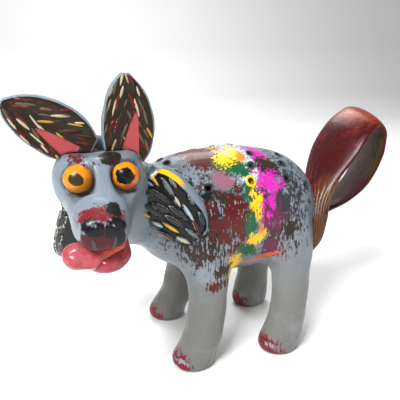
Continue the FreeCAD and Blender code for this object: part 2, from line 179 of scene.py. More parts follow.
def skin(field, lattice):
    """Points and quads of a field's zero surface: one point in each cell that the surface crosses."""
    field = np.ascontiguousarray(np.broadcast_to(field, lattice.shape), dtype=np.float32)
    inside = field < 0
    views = [inside[i:inside.shape[0] - 1 + i, j:inside.shape[1] - 1 + j, k:inside.shape[2] - 1 + k]
             for i, j, k in CORNERS]
    filled = sum(view.astype(np.uint8) for view in views)
    cells = np.argwhere((filled > 0) & (filled < 8))
    values = np.stack([field[tuple((cells + corner).T)] for corner in CORNERS], axis=1)
    total = np.zeros((len(cells), 3))
    crossings = np.zeros(len(cells))
    for a, b in EDGES:
        crossed = (values[:, a] < 0) != (values[:, b] < 0)
        share = values[:, a] / np.where(crossed, values[:, a] - values[:, b], 1)
        spot = CORNERS[a] + share[:, None] * (CORNERS[b] - CORNERS[a])
        total += np.where(crossed[:, None], spot, 0)
        crossings += crossed
    points = lattice.low + lattice.step * (cells + total / crossings[:, None])
    index = np.full(filled.shape, -1, np.int64)
    index[tuple(cells.T)] = np.arange(len(cells))
    quads = []
    for axis in range(3):
        u, v = (axis + 1) % 3, (axis + 2) % 3
        ahead = np.moveaxis(inside, axis, 0)
        flips = np.moveaxis(ahead[1:] != ahead[:-1], 0, axis)
        spots = np.argwhere(flips)
        spots = spots[(spots[:, u] > 0) & (spots[:, v] > 0)]
        spots = spots[(spots[:, u] < filled.shape[u]) & (spots[:, v] < filled.shape[v])]
        back_u, back_v = np.zeros(3, int), np.zeros(3, int)
        back_u[u], back_v[v] = 1, 1
        shifts = (back_u + back_v, back_v, 0 * back_u, back_u)
        ring = np.stack([index[tuple((spots - shift).T)] for shift in shifts], axis=1)
        outward = inside[tuple(spots.T)]
        quads.append(np.where(outward[:, None], ring, ring[:, ::-1]))
    return points, np.concatenate(quads)


def mesh_object(name, points, quads):
    """A Blender mesh from points in millimetres."""
    mesh = bpy.data.meshes.new(name)
    mesh.vertices.add(len(points))
    mesh.vertices.foreach_set("co", (np.asarray(points) * MM).astype(np.float32).ravel())
    mesh.loops.add(quads.size)
    mesh.loops.foreach_set("vertex_index", quads.astype(np.int32).ravel())
    mesh.polygons.add(len(quads))
    sides = quads.shape[1]
    mesh.polygons.foreach_set("loop_start", np.arange(0, quads.size, sides, dtype=np.int32))
    mesh.polygons.foreach_set("loop_total", np.full(len(quads), sides, np.int32))
    mesh.update(calc_edges=True)
    mesh.validate()
    mesh.polygons.foreach_set("use_smooth", np.full(len(mesh.polygons), True))
    piece = bpy.data.objects.new(name, mesh)
    bpy.context.scene.collection.objects.link(piece)
    return piece


def finish_piece(name, points, quads, marks, node, body, slot, material):
    """A piece stands for its CAD node inside the CAD box, moves with its body and takes its paint.
    The marks are values at its points, which the paint reads."""
    piece = mesh_object(name, np.clip(points, BOX_LOW, BOX_HIGH), quads)
    for label, values in marks.items():
        layer = piece.data.attributes.new(label, "FLOAT", "POINT")
        layer.data.foreach_set("value", np.asarray(values, np.float32))
    piece.data.materials.append(material)
    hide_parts(node)
    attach(piece, body)


def carved_piece(name, field, lattice, node, slot, material):
    """Mesh a field as a piece of the figure that needs no marks."""
    finish_piece(name, *skin(field, lattice), {}, node, "figure", slot, material)


# ---------------------------------------------------------------- the animal's carved form

BARREL_HALF_LENGTH = 47.0
SHOULDER_HALVES = (27.0, HALF_WIDTH - 3, HALF_DEPTH - 4)
RUMP_HALVES = (27.5, HALF_WIDTH - 2, HALF_DEPTH - 4.5)
SHOULDER_X = TORSO_LOW[0] + SHOULDER_HALVES[0]
RUMP_X = TORSO_HIGH[0] - RUMP_HALVES[0]
BARREL_X = (TORSO_LOW[0] + TORSO_HIGH[0]) / 2 + 1.75
# The barrel and shoulders sit a little high, and the barrel is a little deep, to arch the back.
BARREL_RISE, SHOULDER_RISE, BARREL_SWELL = 0.7, 2.0, 0.8
TRUNK_INSET = 0.3
BODY_BLEND = 7.0

DOWEL_RADIUS = 3.0
LEG_FRONT_X = corners("leg_dowels")[0][0] + DOWEL_RADIUS
LEG_REAR_X = corners("leg_dowels")[1][0] - DOWEL_RADIUS
LEG_TRACK = 25.0
LEG_HALF_LENGTH, LEG_HALF_WIDTH = 10.2, 8.8
HAUNCH_TRACK, HAUNCH_HEIGHT = 18.0, 59.0
HAUNCH_HALVES = (12.6, 12.0, 15.0)

# Legs: x of the shin, side, and how far the sole is set forward of the shin.
LEGS = {
    "leg_front_left": (LEG_FRONT_X, LEFT, 8.5),
    "leg_front_right": (LEG_FRONT_X, RIGHT, 11.0),
    "leg_rear_left": (LEG_REAR_X, LEFT, 6.5),
    "leg_rear_right": (LEG_REAR_X, RIGHT, 2.5),
}

# Leg stations: height, share of the forward set, share of the shin's size, distance from mid-plane.
LEG_STATIONS = np.array([
    (0.0, 1.0, 0.98, 1.0),
    (5.0, 1.0, 1.14, 1.0),
    (12.0, 0.62, 1.06, 1.0),
    (20.0, 0.3, 0.98, 1.0),
    (34.0, 0.1, 0.95, 0.98),
    (46.0, 0.0, 1.04, 0.88),
    (57.0, 0.0, 1.12, 0.74),
])

NECK_WAY = np.array([-0.62, -0.58, 0.53])
NECK_WAY /= np.linalg.norm(NECK_WAY)
SKULL = np.array([HEAD_X, EYES["left"][1] + 14.5, EYES["left"][2] - 3.0])
SKULL_HALVES = (19.0, 19.5, 17.0)
NECK = SKULL + (15.0, 17.0, -17.5)
NECK_HALVES = (17.5, 20.0, 32.0)
EAR_PLANE = centre_of("ear_left")[1]
BROW_RISE = 11.0
MUZZLE_FRONT = np.array([HEAD_X - 2.6, NOSE_Y, EYES["left"][2] - 14.3])

# Muzzle stations: distance behind the nose, shift along x, rise, half width, half depth.
MUZZLE_STATIONS = np.array([
    (0.0, 0.0, 0.0, 7.0, 5.6),
    (2.5, 0.0, 0.0, 8.0, 6.5),
    (8.0, 0.4, 1.0, 8.5, 7.0),
    (16.0, 1.2, 3.0, 9.4, 8.0),
    (28.0, 2.6, 7.0, 12.0, 10.0),
])
SQUARENESS = 2.6


def wobble(p, length, depth):
    """Slow unevenness left by the knife."""
    x, y, z = (c / length for c in p)
    facets = np.sin(2.1 * x + 1.3 * y) * np.sin(1.7 * y - 2.3 * z + 1)
    return depth * (facets + np.sin(1.9 * z + 1.1 * x + 2) / 2)


def trunk(p):
    barrel_halves = (BARREL_HALF_LENGTH, HALF_WIDTH, HALF_DEPTH + BARREL_SWELL)
    barrel = ellipsoid(p, (BARREL_X, 0, TRUNK_HEIGHT + BARREL_RISE), barrel_halves)
    shoulder = ellipsoid(p, (SHOULDER_X, 0, TRUNK_HEIGHT + SHOULDER_RISE), SHOULDER_HALVES)
    rump = ellipsoid(p, (RUMP_X, 0, TRUNK_HEIGHT), RUMP_HALVES)
    whole = join(join(barrel, shoulder, BODY_BLEND), rump, BODY_BLEND)
    return whole + wobble(p, 9.0, 0.18) + TRUNK_INSET


def smooth_between(t, at, values):
    """Values along a limb, eased between its stations."""
    fine = np.linspace(at[0], at[-1], 60)
    plain = np.interp(fine, at, values)
    kernel = np.hanning(11)
    padded = np.pad(plain, 5, mode="edge")
    eased = np.convolve(padded, kernel / kernel.sum(), mode="valid")
    return np.interp(t, fine, eased)


def leg(p, name):
    """An ellipse section carried down to a rounded sole, with the haunch above it."""
    shin_x, side, reach = LEGS[name]
    heights, forward, swell, track = LEG_STATIONS.T
    z = np.asarray(p[2], float)
    middle_x = shin_x - reach * smooth_between(z, heights, forward)
    middle_y = side * LEG_TRACK * smooth_between(z, heights, track)
    half_x = LEG_HALF_LENGTH * smooth_between(z, heights, swell)
    half_y = LEG_HALF_WIDTH * np.minimum(smooth_between(z, heights, swell), 1.05)
    near = np.sqrt(((p[0] - middle_x) / half_x) ** 2 + ((p[1] - middle_y) / half_y) ** 2)
    shin = (near - 1) * np.minimum(half_x, half_y)
    shin = limit(shin, p[2] - heights[-1], 6.0)
    haunch = ellipsoid(p, (shin_x, side * HAUNCH_TRACK, HAUNCH_HEIGHT), HAUNCH_HALVES)
    whole = join(shin, haunch, 6.0) + wobble(p, 6.0, 0.2)
    if name == "leg_front_left":
        whole = carve(whole, toe_cleft(p), 1.2)
    return limit(whole, -p[2], 3.0)


def toe_cleft(p):
    """The cleft between the two toes of the front left foot."""
    shin_x, side, reach = LEGS["leg_front_left"]
    toe_x = shin_x - reach - LEG_HALF_LENGTH * 1.05
    foot = (toe_x + 1.0, side * LEG_TRACK - 3.0, 0.0)
    top = (toe_x + 2.6, side * LEG_TRACK - 2.0, 7.0)
    return rod(p, foot, top, 0.9, 0.5)


def muzzle(p):
    """The blunt snout: a rounded square section carried back from the nose into the skull."""
    behind, shift, rise, half_widths, half_depths = MUZZLE_STATIONS.T
    back = np.asarray(p[1], float) - NOSE_Y
    half_x = np.interp(back, behind, half_widths)
    half_z = np.interp(back, behind, half_depths)
    across = np.abs((p[0] - MUZZLE_FRONT[0] - np.interp(back, behind, shift)) / half_x)
    upward = np.abs((p[2] - MUZZLE_FRONT[2] - np.interp(back, behind, rise)) / half_z)
    near = (across ** SQUARENESS + upward ** SQUARENESS) ** (1 / SQUARENESS)
    ends = np.maximum(NOSE_Y + 0.3 - p[1], p[1] - SKULL[1])
    return limit((near - 1) * half_z, ends, 3.5)


def head(p):
    """Skull, neck, cheeks and muzzle, with the forehead cut flat in front of the ears."""
    skull = ellipsoid(p, SKULL, SKULL_HALVES)
    neck = ellipsoid(p, NECK, NECK_HALVES, neck_axes())
    cheeks = rod(p, SKULL + (0, -5, -5), MUZZLE_FRONT + (0.2, 14, 0.4), 15.6, 10.4)
    whole = join(join(skull, neck, 8.0), cheeks, 5.0)
    whole = join(whole, muzzle(p), 4.0)
    jaw_root = ellipsoid(p, SKULL + (0, -8, -15), (9, 12, 9))
    above_brow = np.maximum(SKULL[2] + BROW_RISE - p[2], p[1] - EAR_PLANE - 2.5)
    return carve(join(whole, jaw_root, 5.0), above_brow, 2.5) + wobble(p, 7.0, 0.16)


def neck_axes():
    across = np.cross(NECK_WAY, (0, 0, 1))
    across /= np.linalg.norm(across)
    return [across, np.cross(across, NECK_WAY), NECK_WAY]


def body(p):
    """Trunk, head and legs as one surface; each piece is later cut from it."""
    whole = join(trunk(p), head(p), 6.0)
    for name in LEGS:
        whole = join(whole, leg(p, name), BODY_BLEND)
    return whole


# ---------------------------------------------------------------- pieces of the body

SEAM_LAP = 0.5
SEAM_STEP = 0.1


def share_of_body(whole, own, others, under):
    """The share of the body nearer to a part's own form than to the others'.
    Where two shares lap, the one that lies under is a hair lower."""
    ahead = own - others
    lowered = whole + (SEAM_STEP * step_up(ahead, -4, 0) if under else 0)
    return np.maximum(lowered, ahead / 2 - SEAM_LAP)


# Holes drilled in the back. Each mouth is where a line from inside the trunk to its point leaves the body.
HOLES = [
    (-32.7, 1.0, 102.7), (-29.8, -5.0, 97.8), (-28.4, -12.0, 95.0), (-23.0, -18.0, 91.5),
    (-14.8, -22.0, 92.0), (6.5, -23.0, 94.7), (11.0, -10.0, 104.6), (28.0, -6.5, 101.0),
    (27.0, -13.0, 98.0), (26.5, -20.0, 93.0), (38.0, -17.0, 87.0), (-15.0, 4.4, 107.0),
    (-3.0, 4.0, 107.0), (4.5, 2.2, 107.0), (8.9, -17.0, 100.0),
]
RINGED_HOLE = HOLES[5]
HOLE_RADIUS, HOLE_DEPTH, LIP_RADIUS, LIP_THICKNESS = 1.45, 4.5, 2.0, 0.55


def hole_places():
    """Mouth of each drilled hole on the back, and the way it faces."""
    places = []
    for mouth in HOLES:
        middle = np.array([mouth[0] * 0.8, 0.0, TRUNK_HEIGHT])
        ray = np.array(mouth) - middle
        shares = np.linspace(0.5, 1.6, 500)
        line = [middle[i] + ray[i] * shares for i in range(3)]
        spot = middle + ray * shares[np.argmax(body(line) > 0)]
        nudge = 0.5
        slope = [body(spot + nudge * way)[()] - body(spot - nudge * way)[()] for way in np.eye(3)]
        places.append((spot, np.array(slope) / np.linalg.norm(slope)))
    return places


def drill(field, lattice, places):
    """Drill each hole, and raise the lip of paint around its mouth."""
    reach = 4.5 + HOLE_DEPTH
    for spot, outward in places:
        first = np.maximum((spot - reach - lattice.low) / lattice.step, 0).astype(int)
        last = np.maximum((spot + reach - lattice.low) / lattice.step, 0).astype(int)
        window = tuple(slice(first[i], last[i]) for i in range(3))
        p = (lattice.x[window[0]], lattice.y[:, window[1]], lattice.z[:, :, window[2]])
        height, radius = about_axis(p, spot, outward)
        lip = np.sqrt((radius - LIP_RADIUS) ** 2 + (height + 0.1) ** 2) - LIP_THICKNESS
        bore = np.maximum(radius - HOLE_RADIUS, -height - HOLE_DEPTH)
        field[window] = carve(join(field[window], lip, 0.5), bore, 0.4)
    return field


def holes_mark(points, places):
    """One on a drilled hole's wall and lip, falling to nothing just outside."""
    mark = np.zeros(len(points))
    for spot, outward in places:
        height, radius = about_axis(points.T, spot, outward)
        near = np.abs(height) < HOLE_DEPTH + 1
        mark = np.maximum(mark, step_up(LIP_RADIUS + 0.7 - radius, 0.0, 0.5) * near)
    return mark


def drilled_piece(node, field, lattice, material):
    """Drill the back's holes in a body piece, and finish it."""
    places = hole_places()
    field = drill(np.array(np.broadcast_to(field, lattice.shape)), lattice, places)
    points, quads = skin(field, lattice)
    marks = {"hole": holes_mark(points.clip(BOX_LOW, BOX_HIGH), places)}
    finish_piece(f"{node}_carving", points, quads, marks, node, "figure", "painted_body", material)


def build_torso(material):
    lattice = Lattice(TORSO_LOW - (4, 6, 4), TORSO_HIGH + (1, 6, 4), COARSE_STEP)
    p = lattice.points()
    others = head(p)
    for name in LEGS:
        others = np.minimum(others, leg(p, name))
    drilled_piece("torso", share_of_body(body(p), trunk(p), others, under=False), lattice, material)


def build_legs(material):
    for name in LEGS:
        low, high = corners(name)
        lattice = Lattice(low - (3, 3, 1), high + (3, 3, 4), COARSE_STEP)
        p = lattice.points()
        field = share_of_body(body(p), leg(p, name), trunk(p), under=True)
        field = np.maximum(field, -p[2])
        carved_piece(f"{name}_carving", field, lattice, name, "painted_body", material)


def eye_way(side):
    """The way an eye looks: forward, and a little outward and down."""
    outward = 0.16 if side == "left" else -0.16
    way = np.array([outward, -1.0, -0.02])
    return way / np.linalg.norm(way)


SOCKET_RADIUS = 7.0


def socket(p, side):
    """The shallow round recess that a bead eye sits in."""
    height, radius = about_axis(p, EYES[side], eye_way(side))
    return np.maximum(radius - SOCKET_RADIUS, np.maximum(0.6 - height, height - 12))


def build_head(material):
    low, high = corners("head")
    lattice = Lattice(low - (1, 0, 4), high + (8, 8, 2), FINE_STEP)
    p = lattice.points()
    field = body(p)
    for side in EYES:
        field = carve(field, socket(p, side), 1.8)
    field = carve(field, mouth(p), 1.6)
    for sign in (-1, 1):
        field = carve(field, nostril(p, sign), 0.5)
    drilled_piece("head", share_of_body(field, head(p), trunk(p), under=True), lattice, material)


def mouth(p):
    """The gap between the muzzle and the lower jaw."""
    return ellipsoid(p, (HEAD_X - 1.5, NOSE_Y + 4.0, MUZZLE_FRONT[2] - 10.5), (11.0, 13.0, 4.6))


def nostril(p, sign):
    """A V notch that widens down to the lip."""
    top = MUZZLE_FRONT + (sign * 4.2, -0.9, 1.2)
    foot = MUZZLE_FRONT + (sign * 3.0 + 0.4, -0.6, -6.5)
    return rod(p, top, foot, 0.35, 1.7)


def build_eyes(material):
    for side in EYES:
        centre = EYES[side]
        lattice = Lattice(centre - EYE_RADIUS, centre + EYE_RADIUS, FINE_STEP)
        p = lattice.points()
        way = eye_way(side)
        across = np.cross(way, (0, 0, 1))
        halves = (EYE_RADIUS - 0.1, EYE_RADIUS - 0.25, EYE_RADIUS - 0.3)
        bead = ellipsoid(p, centre, halves, [across, np.cross(across, way), way])
        field = bead + wobble(p, 2.2, 0.08)
        carved_piece(f"eye_bead_{side}", field, lattice, f"eye_{side}", "eye_paint", material)


def build_jaw(material):
    low, high = corners("lower_jaw")
    lattice = Lattice(low - (2, 2, 4), high + (3, 1, 6), FINE_STEP)
    p = lattice.points()
    middle = (low + high) / 2
    bowl = ellipsoid(p, middle + (-0.8, -1.5, -2.2), (9.4, 17.0, 6.4))
    corner = rod(p, middle + (5.4, -9.0, -1.0), middle + (5.9, -7.0, 8.0), 2.6, 1.5)
    cavity = ellipsoid(p, middle + (-0.5, -6.0, 5.4), (6.0, 12.0, 3.6))
    field = carve(join(bowl, corner, 4.0), cavity, 1.5) + wobble(p, 4.0, 0.15)
    carved_piece("lower_jaw_carving", field, lattice, "lower_jaw", "painted_jaw", material)


def build_tongue(material):
    low, high = corners("tongue")
    lattice = Lattice(low - 2, high + 2, FINE_STEP)
    p = lattice.points()
    middle = (low + high) / 2
    root = middle + (9.5, 0.5, 3.2)
    bend = middle + (-0.5, -2.4, -0.2)
    tip = middle + (-6.2, -1.8, 0.9)
    field = join(rod(p, root, bend, 2.6, 3.8), rod(p, bend, tip, 3.8, 5.1), 2.0)
    fold = rod(p, bend + (3, -3.8, 3.4), tip + (-2, -4.6, 2.4), 0.4, 0.4)
    field = carve(field, fold, 1.2) + wobble(p, 3.0, 0.2)
    carved_piece("tongue_carving", field, lattice, "tongue", "painted_tongue", material)


# ---------------------------------------------------------------- ears and ruffs, two kinds of leaf

EAR_THICKNESS = 6.5
RUFF_LENGTH, RUFF_THICKNESS, GOUGE_DEPTH = 46.0, 16.0, 2.0

# Outlines of the leaves: distance along from the root, half width.
EAR_OUTLINE = np.array([
    (0, 5.5), (4, 8.3), (8, 10.0), (14, 11.0), (21, 10.6), (28, 8.8), (33, 6.2), (36, 3.9), (38, 1.0),
])
RUFF_OUTLINE = np.array([
    (0, 6.5), (5, 10.5), (12, 12.6), (24, 13.2), (34, 12.2), (41, 9.0), (45, 5.0), (46.5, 1.5),
])


def leaf(u, w, outline, bow=0.0):
    """Distance to the edge of a leaf; bow shifts its middle sideways."""
    length = outline[-1, 0]
    middle = bow * np.sin(np.pi * np.clip(w / length, 0, 1))
    half = smooth_between(w, outline[:, 0], outline[:, 1])
    sideways = (np.abs(u - middle) - half) * 0.85
    return np.maximum(sideways, np.maximum(w - length, -w))


class Leaf:
    """A leaf's own directions: across it, outward from its face, and along it from the root."""

    def __init__(self, root, along, outward):
        self.root = np.array(root, float)
        self.along = np.array(along, float) / np.linalg.norm(along)
        face = np.array(outward, float)
        face -= self.along * face.dot(self.along)
        self.outward = face / np.linalg.norm(face)
        self.across = np.cross(self.outward, self.along)

    def local(self, p):
        return about(p, self.root, (self.across, self.outward, self.along))


def ear_leaf(side):
    axis = pull_axis(f"ear_{side}_pull")
    root = centre_of(f"ear_peg_{side}") - 7.0 * axis
    return Leaf(root, axis, (0, -1, 0))


def ruff_leaf(side):
    low, high = corners(f"ruff_{side}")
    if side == "left":
        return Leaf((low[0] + 1.8, -24.0, high[2] - 3.6), (26.0, -3.0, -31.0), (0, -1, 0.15))
    return Leaf((high[0] - 7.6, -4.0, high[2] - 1.6), (-12.0, 8.0, -42.0), (-0.9, 0.4, -0.25))


def strokes_on(attempts, outline, seed, slant, size, width, margin):
    """Seeded short strokes on a leaf: centre, lean, length, half width and a tint from 0 to 1."""
    rng = np.random.default_rng(seed)
    made = []
    for _ in range(attempts):
        u, w = rng.uniform(-1, 1) * outline[:, 1].max(), rng.uniform(0, outline[-1, 0])
        lean = -slant * np.sign(u) * (0.6 + 0.8 * rng.random())
        extent, half, tint = size * rng.uniform(0.6, 1.25), width * rng.uniform(0.7, 1.2), rng.random()
        crowded = any(abs(u - m[0]) < 1.9 * width and abs(w - m[1]) < size * 0.75 for m in made)
        if leaf(u, w, outline) < -margin and not crowded:
            made.append((u, w, lean, extent, half, tint))
    return made


def stroke_masks(u, w, strokes):
    """How deep each point lies in its nearest stroke, and that stroke's tint."""
    deepest = np.zeros_like(u)
    tint = np.zeros_like(u)
    for middle_u, middle_w, lean, length, half, value in strokes:
        along = np.array([math.sin(lean), math.cos(lean)])
        du, dw = u - middle_u, w - middle_w
        s = du * along[0] + dw * along[1]
        t = np.abs(du * along[1] - dw * along[0])
        taper = half * np.sqrt(np.clip(1 - (2 * s / length) ** 2, 0, 1))
        depth = np.clip((taper - t) / half, 0, 1)
        tint = np.where(depth > deepest, value, tint)
        deepest = np.maximum(deepest, depth)
    return deepest, tint


# Ears: sideways bow of the leaf, and where the pink scoop's middle starts and ends across the leaf.
EARS = {"left": (-0.9, -1.0, -4.3), "right": (-0.6, 4.6, 2.4)}
SKULL_CLEARANCE = 0.25


def build_ears(material):
    for seed, side in enumerate(EYES, start=5):
        bow, scoop_start, scoop_end = EARS[side]
        low, high = corners(f"ear_{side}")
        shape = ear_leaf(side)
        lattice = Lattice(low - (4, 1, 3), high + (3, 1, 4), FINE_STEP * 0.85)
        p = lattice.points()
        u, v, w = shape.local(p)
        edge = leaf(u, w, EAR_OUTLINE, bow)
        inner = np.clip(-edge / EAR_OUTLINE[:, 1].max(), 0, 1)
        front = v - (EAR_THICKNESS / 2 - 0.9 * step_up(inner, 0.08, 0.7))
        back = -v - EAR_THICKNESS / 2 * (0.25 + 0.75 * np.sqrt(np.clip(inner * 1.6, 0, 1)))
        field = limit(np.maximum(front, back), edge, 1.2)
        scoop = scoop_shape(u, w, scoop_start, scoop_end)
        field = carve(field, np.maximum(scoop, EAR_THICKNESS / 2 - 1.4 - v), 0.6) + wobble(p, 5.0, 0.12)
        field = limit(field, SKULL_CLEARANCE - head(p), 0.8)
        strokes = strokes_on(700, EAR_OUTLINE, seed, 0.35, 7.0, 0.75, 1.0)

        points, quads = skin(field, lattice)
        pu, pv, pw = shape.local(points.T)
        on_face = step_up(pv, EAR_THICKNESS / 2 - 2.2, EAR_THICKNESS / 2 - 1.6)
        inside = step_up(-leaf(pu, pw, EAR_OUTLINE, bow), 0.5, 1.0) * on_face
        pink = step_up(-scoop_shape(pu, pw, scoop_start, scoop_end), -0.2, 0.3) * (pv > 0)
        depth, tint = stroke_masks(pu, pw, strokes)
        depth = depth * inside * (1 - pink)
        points = points + (0.35 * step_up(depth, 0.1, 0.7))[:, None] * shape.outward
        marks = {"face": inside, "pink": pink, "stroke": depth, "tint": tint}
        finish_piece(f"ear_{side}_leaf", points, quads, marks,
                     f"ear_{side}", f"{side}_ear", "ear_paint", material)


def scoop_shape(u, w, start_u, end_u):
    """Distance to the outline of an ear's pink scoop, a drop with its point towards the ear's tip."""
    start, length, half = 5.0, 18.0, 4.1
    share = np.clip((w - start) / length, 0, 1)
    middle = start_u + (end_u - start_u) * share
    half_here = half * np.sqrt(1 - share) * (1 - 0.3 * share)
    return np.maximum(np.abs(u - middle) - half_here, start - w)


def build_ruffs(material):
    for seed, side in enumerate(EYES, start=11):
        low, high = corners(f"ruff_{side}")
        shape = ruff_leaf(side)
        outline = RUFF_OUTLINE * ((0.9, 1.04) if side == "left" else (1.0, 0.9))
        lattice = Lattice(low - 5, high + 5, FINE_STEP * 0.9)
        p = lattice.points()
        u, v, w = shape.local(p)
        edge = leaf(u, w, outline)
        inner = np.clip(-edge / outline[:, 1].max(), 0, 1)
        top = RUFF_THICKNESS / 2 * (0.35 + 0.65 * np.sqrt(np.clip(inner * 1.4, 0, 1)))
        field = limit(np.maximum(v - top + 0.6, -v - RUFF_THICKNESS / 2), edge + 0.3, 3.0)
        field = np.maximum(field, -np.minimum(trunk(p), head(p)) - 1.0)
        strokes = strokes_on(1500, outline, seed, 0.25, 9.5, 1.45, 0.6)

        points, quads = skin(field, lattice)
        pu, pv, pw = shape.local(points.T)
        inside = leaf(pu, pw, outline)
        rim = rim_mark(pu, pw, inside) * (side == "left")
        depth, tint = stroke_masks(pu, pw, strokes)
        facing = step_up(pv, -1.0, 2.0)
        ground = (1 - step_up(depth, 0.0, 0.6)) * (1 - rim) * facing
        points = points - GOUGE_DEPTH * ground[:, None] * shape.outward
        marks = {"rim": rim, "stroke": depth * (1 - rim) * facing, "tint": tint,
                 "along": pw / RUFF_LENGTH, "edge": -inside / 5}
        finish_piece(f"ruff_{side}_mane", points, quads, marks,
                     f"ruff_{side}", "figure", "ruff_paint", material)


def rim_mark(u, w, inside):
    """The smooth upper rim of a ruff."""
    thick = 4.4 - 2.4 * step_up(w, 26, 42)
    return step_up(inside + thick, 0.0, 0.8) * step_up(u, 0.0, 2.0)


# ---------------------------------------------------------------- tail

# Along the tail: x, y, height, share of the full width, share of the full thickness.
TAIL_STATIONS = np.array([
    (44.0, 8.0, 60.5, 0.3, 1.25),
    (56.0, 9.5, 62.0, 0.46, 1.15),
    (68.0, 13.0, 64.5, 0.7, 1.05),
    (79.5, 11.5, 70.5, 0.88, 1.0),
    (88.5, 9.5, 80.0, 1.03, 1.0),
    (93.5, 7.6, 92.0, 1.11, 1.0),
    (94.5, 5.0, 105.0, 1.06, 1.0),
    (90.5, 1.7, 116.0, 0.87, 1.0),
    (82.0, -1.0, 120.0, 0.8, 1.0),
    (73.0, -2.2, 114.5, 0.85, 1.0),
    (64.5, -3.6, 103.5, 0.86, 1.0),
    (57.0, -6.6, 91.5, 0.7, 1.05),
    (51.5, -12.3, 80.0, 0.48, 1.25),
    (48.0, -18.0, 69.5, 0.34, 1.35),
    (45.5, -20.5, 60.5, 0.265, 1.05),
    (42.0, -21.0, 52.5, 0.11, 0.5),
])
TAIL_HALF_WIDTH, TAIL_HALF_THICKNESS, TAIL_FLARE = 18.0, 3.4, 0.3


def spline(values, count):
    """Points on a smooth curve through the given ones."""
    steps = np.linspace(0, len(values) - 1, count)
    start = np.clip(steps.astype(int), 0, len(values) - 2)
    t = (steps - start)[:, None]
    before = values[np.maximum(start - 1, 0)]
    after = values[np.minimum(start + 2, len(values) - 1)]
    a, b = values[start], values[start + 1]
    return 0.5 * (2 * a + (b - before) * t + (2 * before - 5 * a + 4 * b - after) * t ** 2
                  + (3 * a - before - 3 * b + after) * t ** 3)


def unit_rows(rows):
    return rows / np.linalg.norm(rows, axis=1)[:, None]


def build_tail(material):
    """A flat band swept along its loop, with grain lines and the carved strands of its tuft."""
    rings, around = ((520, 180))
    line = spline(TAIL_STATIONS, rings)
    start, share = line[:, :3], np.linspace(0, 1, rings)
    along = unit_rows(np.gradient(start, axis=0))
    outward = unit_rows(np.cross((0, 1, 0), along))
    across = np.array([0, 1, 0]) + outward * (TAIL_FLARE * line[:, 3:4])
    across = unit_rows(across - along * (across * along).sum(1)[:, None])
    normal = np.cross(along, across)
    angle = np.linspace(0, 2 * np.pi, around, endpoint=False)
    side = np.cos(angle)[None, :]
    lens = np.sign(np.sin(angle)) * np.abs(np.sin(angle)) ** 0.85
    half_width = TAIL_HALF_WIDTH * line[:, 3:4]
    thin = TAIL_HALF_THICKNESS * np.minimum(line[:, 4:5], 4 * line[:, 3:4])
    groove = tuft_grooves(share[:, None], side)
    slit = tail_slit(share[:, None], side, -lens[None, :])
    height = thin * lens[None, :] * (1 - 0.2 * side ** 2)
    points = (start[:, None, :] + across[:, None, :] * (half_width * side)[:, :, None]
              + normal[:, None, :] * height[:, :, None])
    inward = -np.sign(lens)[None, :, None] * normal[:, None, :]
    points = points + inward * ((groove * 0.9 + slit * 1.8) * np.minimum(1, thin / 2))[:, :, None]
    ends = [start[:1] - along[:1] * 0.3, start[-1:] + along[-1:] * 0.3]
    points = np.concatenate([points.reshape(-1, 3), *ends])
    quads = np.concatenate([band_quads(rings, around), end_fans(rings, around)])
    marks = {"outer": np.tile(lens, rings), "across": np.tile(side.ravel(), rings),
             "groove": groove.ravel(), "slit": slit.ravel()}
    marks = {label: np.concatenate([values, [0, 0]]) for label, values in marks.items()}
    marks["along"] = np.concatenate([np.repeat(share, around), [0, 1]])
    finish_piece("tail_band", points, quads, marks, "tail", "tail", "varnished_tail", material)


def band_quads(rings, around):
    ring, spot = np.meshgrid(np.arange(rings - 1), np.arange(around), indexing="ij")
    here, nearby = ring * around + spot, ring * around + (spot + 1) % around
    return np.stack([here, nearby, nearby + around, here + around], axis=-1).reshape(-1, 4)


def end_fans(rings, around):
    """Close each end with quads that meet at its middle point."""
    first, last = rings * around, rings * around + 1
    offset = (rings - 1) * around
    closing = []
    for s in range(0, around, 2):
        closing.append((first, (s + 2) % around, (s + 1) % around, s))
        closing.append((last, offset + s, offset + (s + 1) % around, offset + (s + 2) % around))
    return np.array(closing)


TUFT_START = 0.72
SLIT_PLACE = 0.78


def tuft_grooves(share, side):
    """Strand lines on the tail's tuft, from nothing at its start to full depth near the tip."""
    strength = step_up(share + 0.05 * side, TUFT_START, TUFT_START + 0.09)
    drift = 2.5 * np.sin(9 * share) + 0.9 * np.sin(31 * share + 3 * side)
    phase = 11 * np.arcsin(np.clip(side, -1, 1)) + drift
    return strength * (1 - np.abs(np.sin(phase)) ** 0.45)


def tail_slit(share, side, lens):
    """The long slit just above the tuft, pressed a little way into one face of the strand and filled with
    painted shade.
    """
    along = (share - SLIT_PLACE) / 0.055
    across = (side - 0.12) / 0.16
    return np.where(lens < 0, np.clip(1.2 - along ** 2 - across ** 2, 0, 1), 0)


# ---------------------------------------------------------------- paint

GREY = (0.175, 0.215, 0.255)
WARM_BOUNCE_GREY = (0.165, 0.150, 0.118)
SMOKE = (0.11, 0.125, 0.135)
WHITE = (0.80, 0.82, 0.84)
BLACK = (0.006, 0.006, 0.007)
CHARCOAL = (0.026, 0.027, 0.030)
DARK_BROWN = (0.030, 0.017, 0.011)
BROWN_RED = (0.080, 0.014, 0.009)
DARK_RED = (0.090, 0.006, 0.008)
CRIMSON = (0.155, 0.012, 0.017)
RED_ORANGE = (0.55, 0.10, 0.02)
ORANGE = (0.80, 0.20, 0.01)
YELLOW = (0.85, 0.50, 0.01)
GREEN = (0.010, 0.090, 0.035)
MAGENTA = (0.55, 0.020, 0.36)
PINK = (0.37, 0.060, 0.065)
MAUVE = (0.24, 0.10, 0.14)
PLUM = (0.110, 0.020, 0.055)
CREAM = (0.62, 0.53, 0.36)
NOSE_RED = (0.060, 0.008, 0.010)
NOTCH_GREY = (0.055, 0.055, 0.052)
SOCKET_SHADE_GREY = (0.07, 0.075, 0.07)
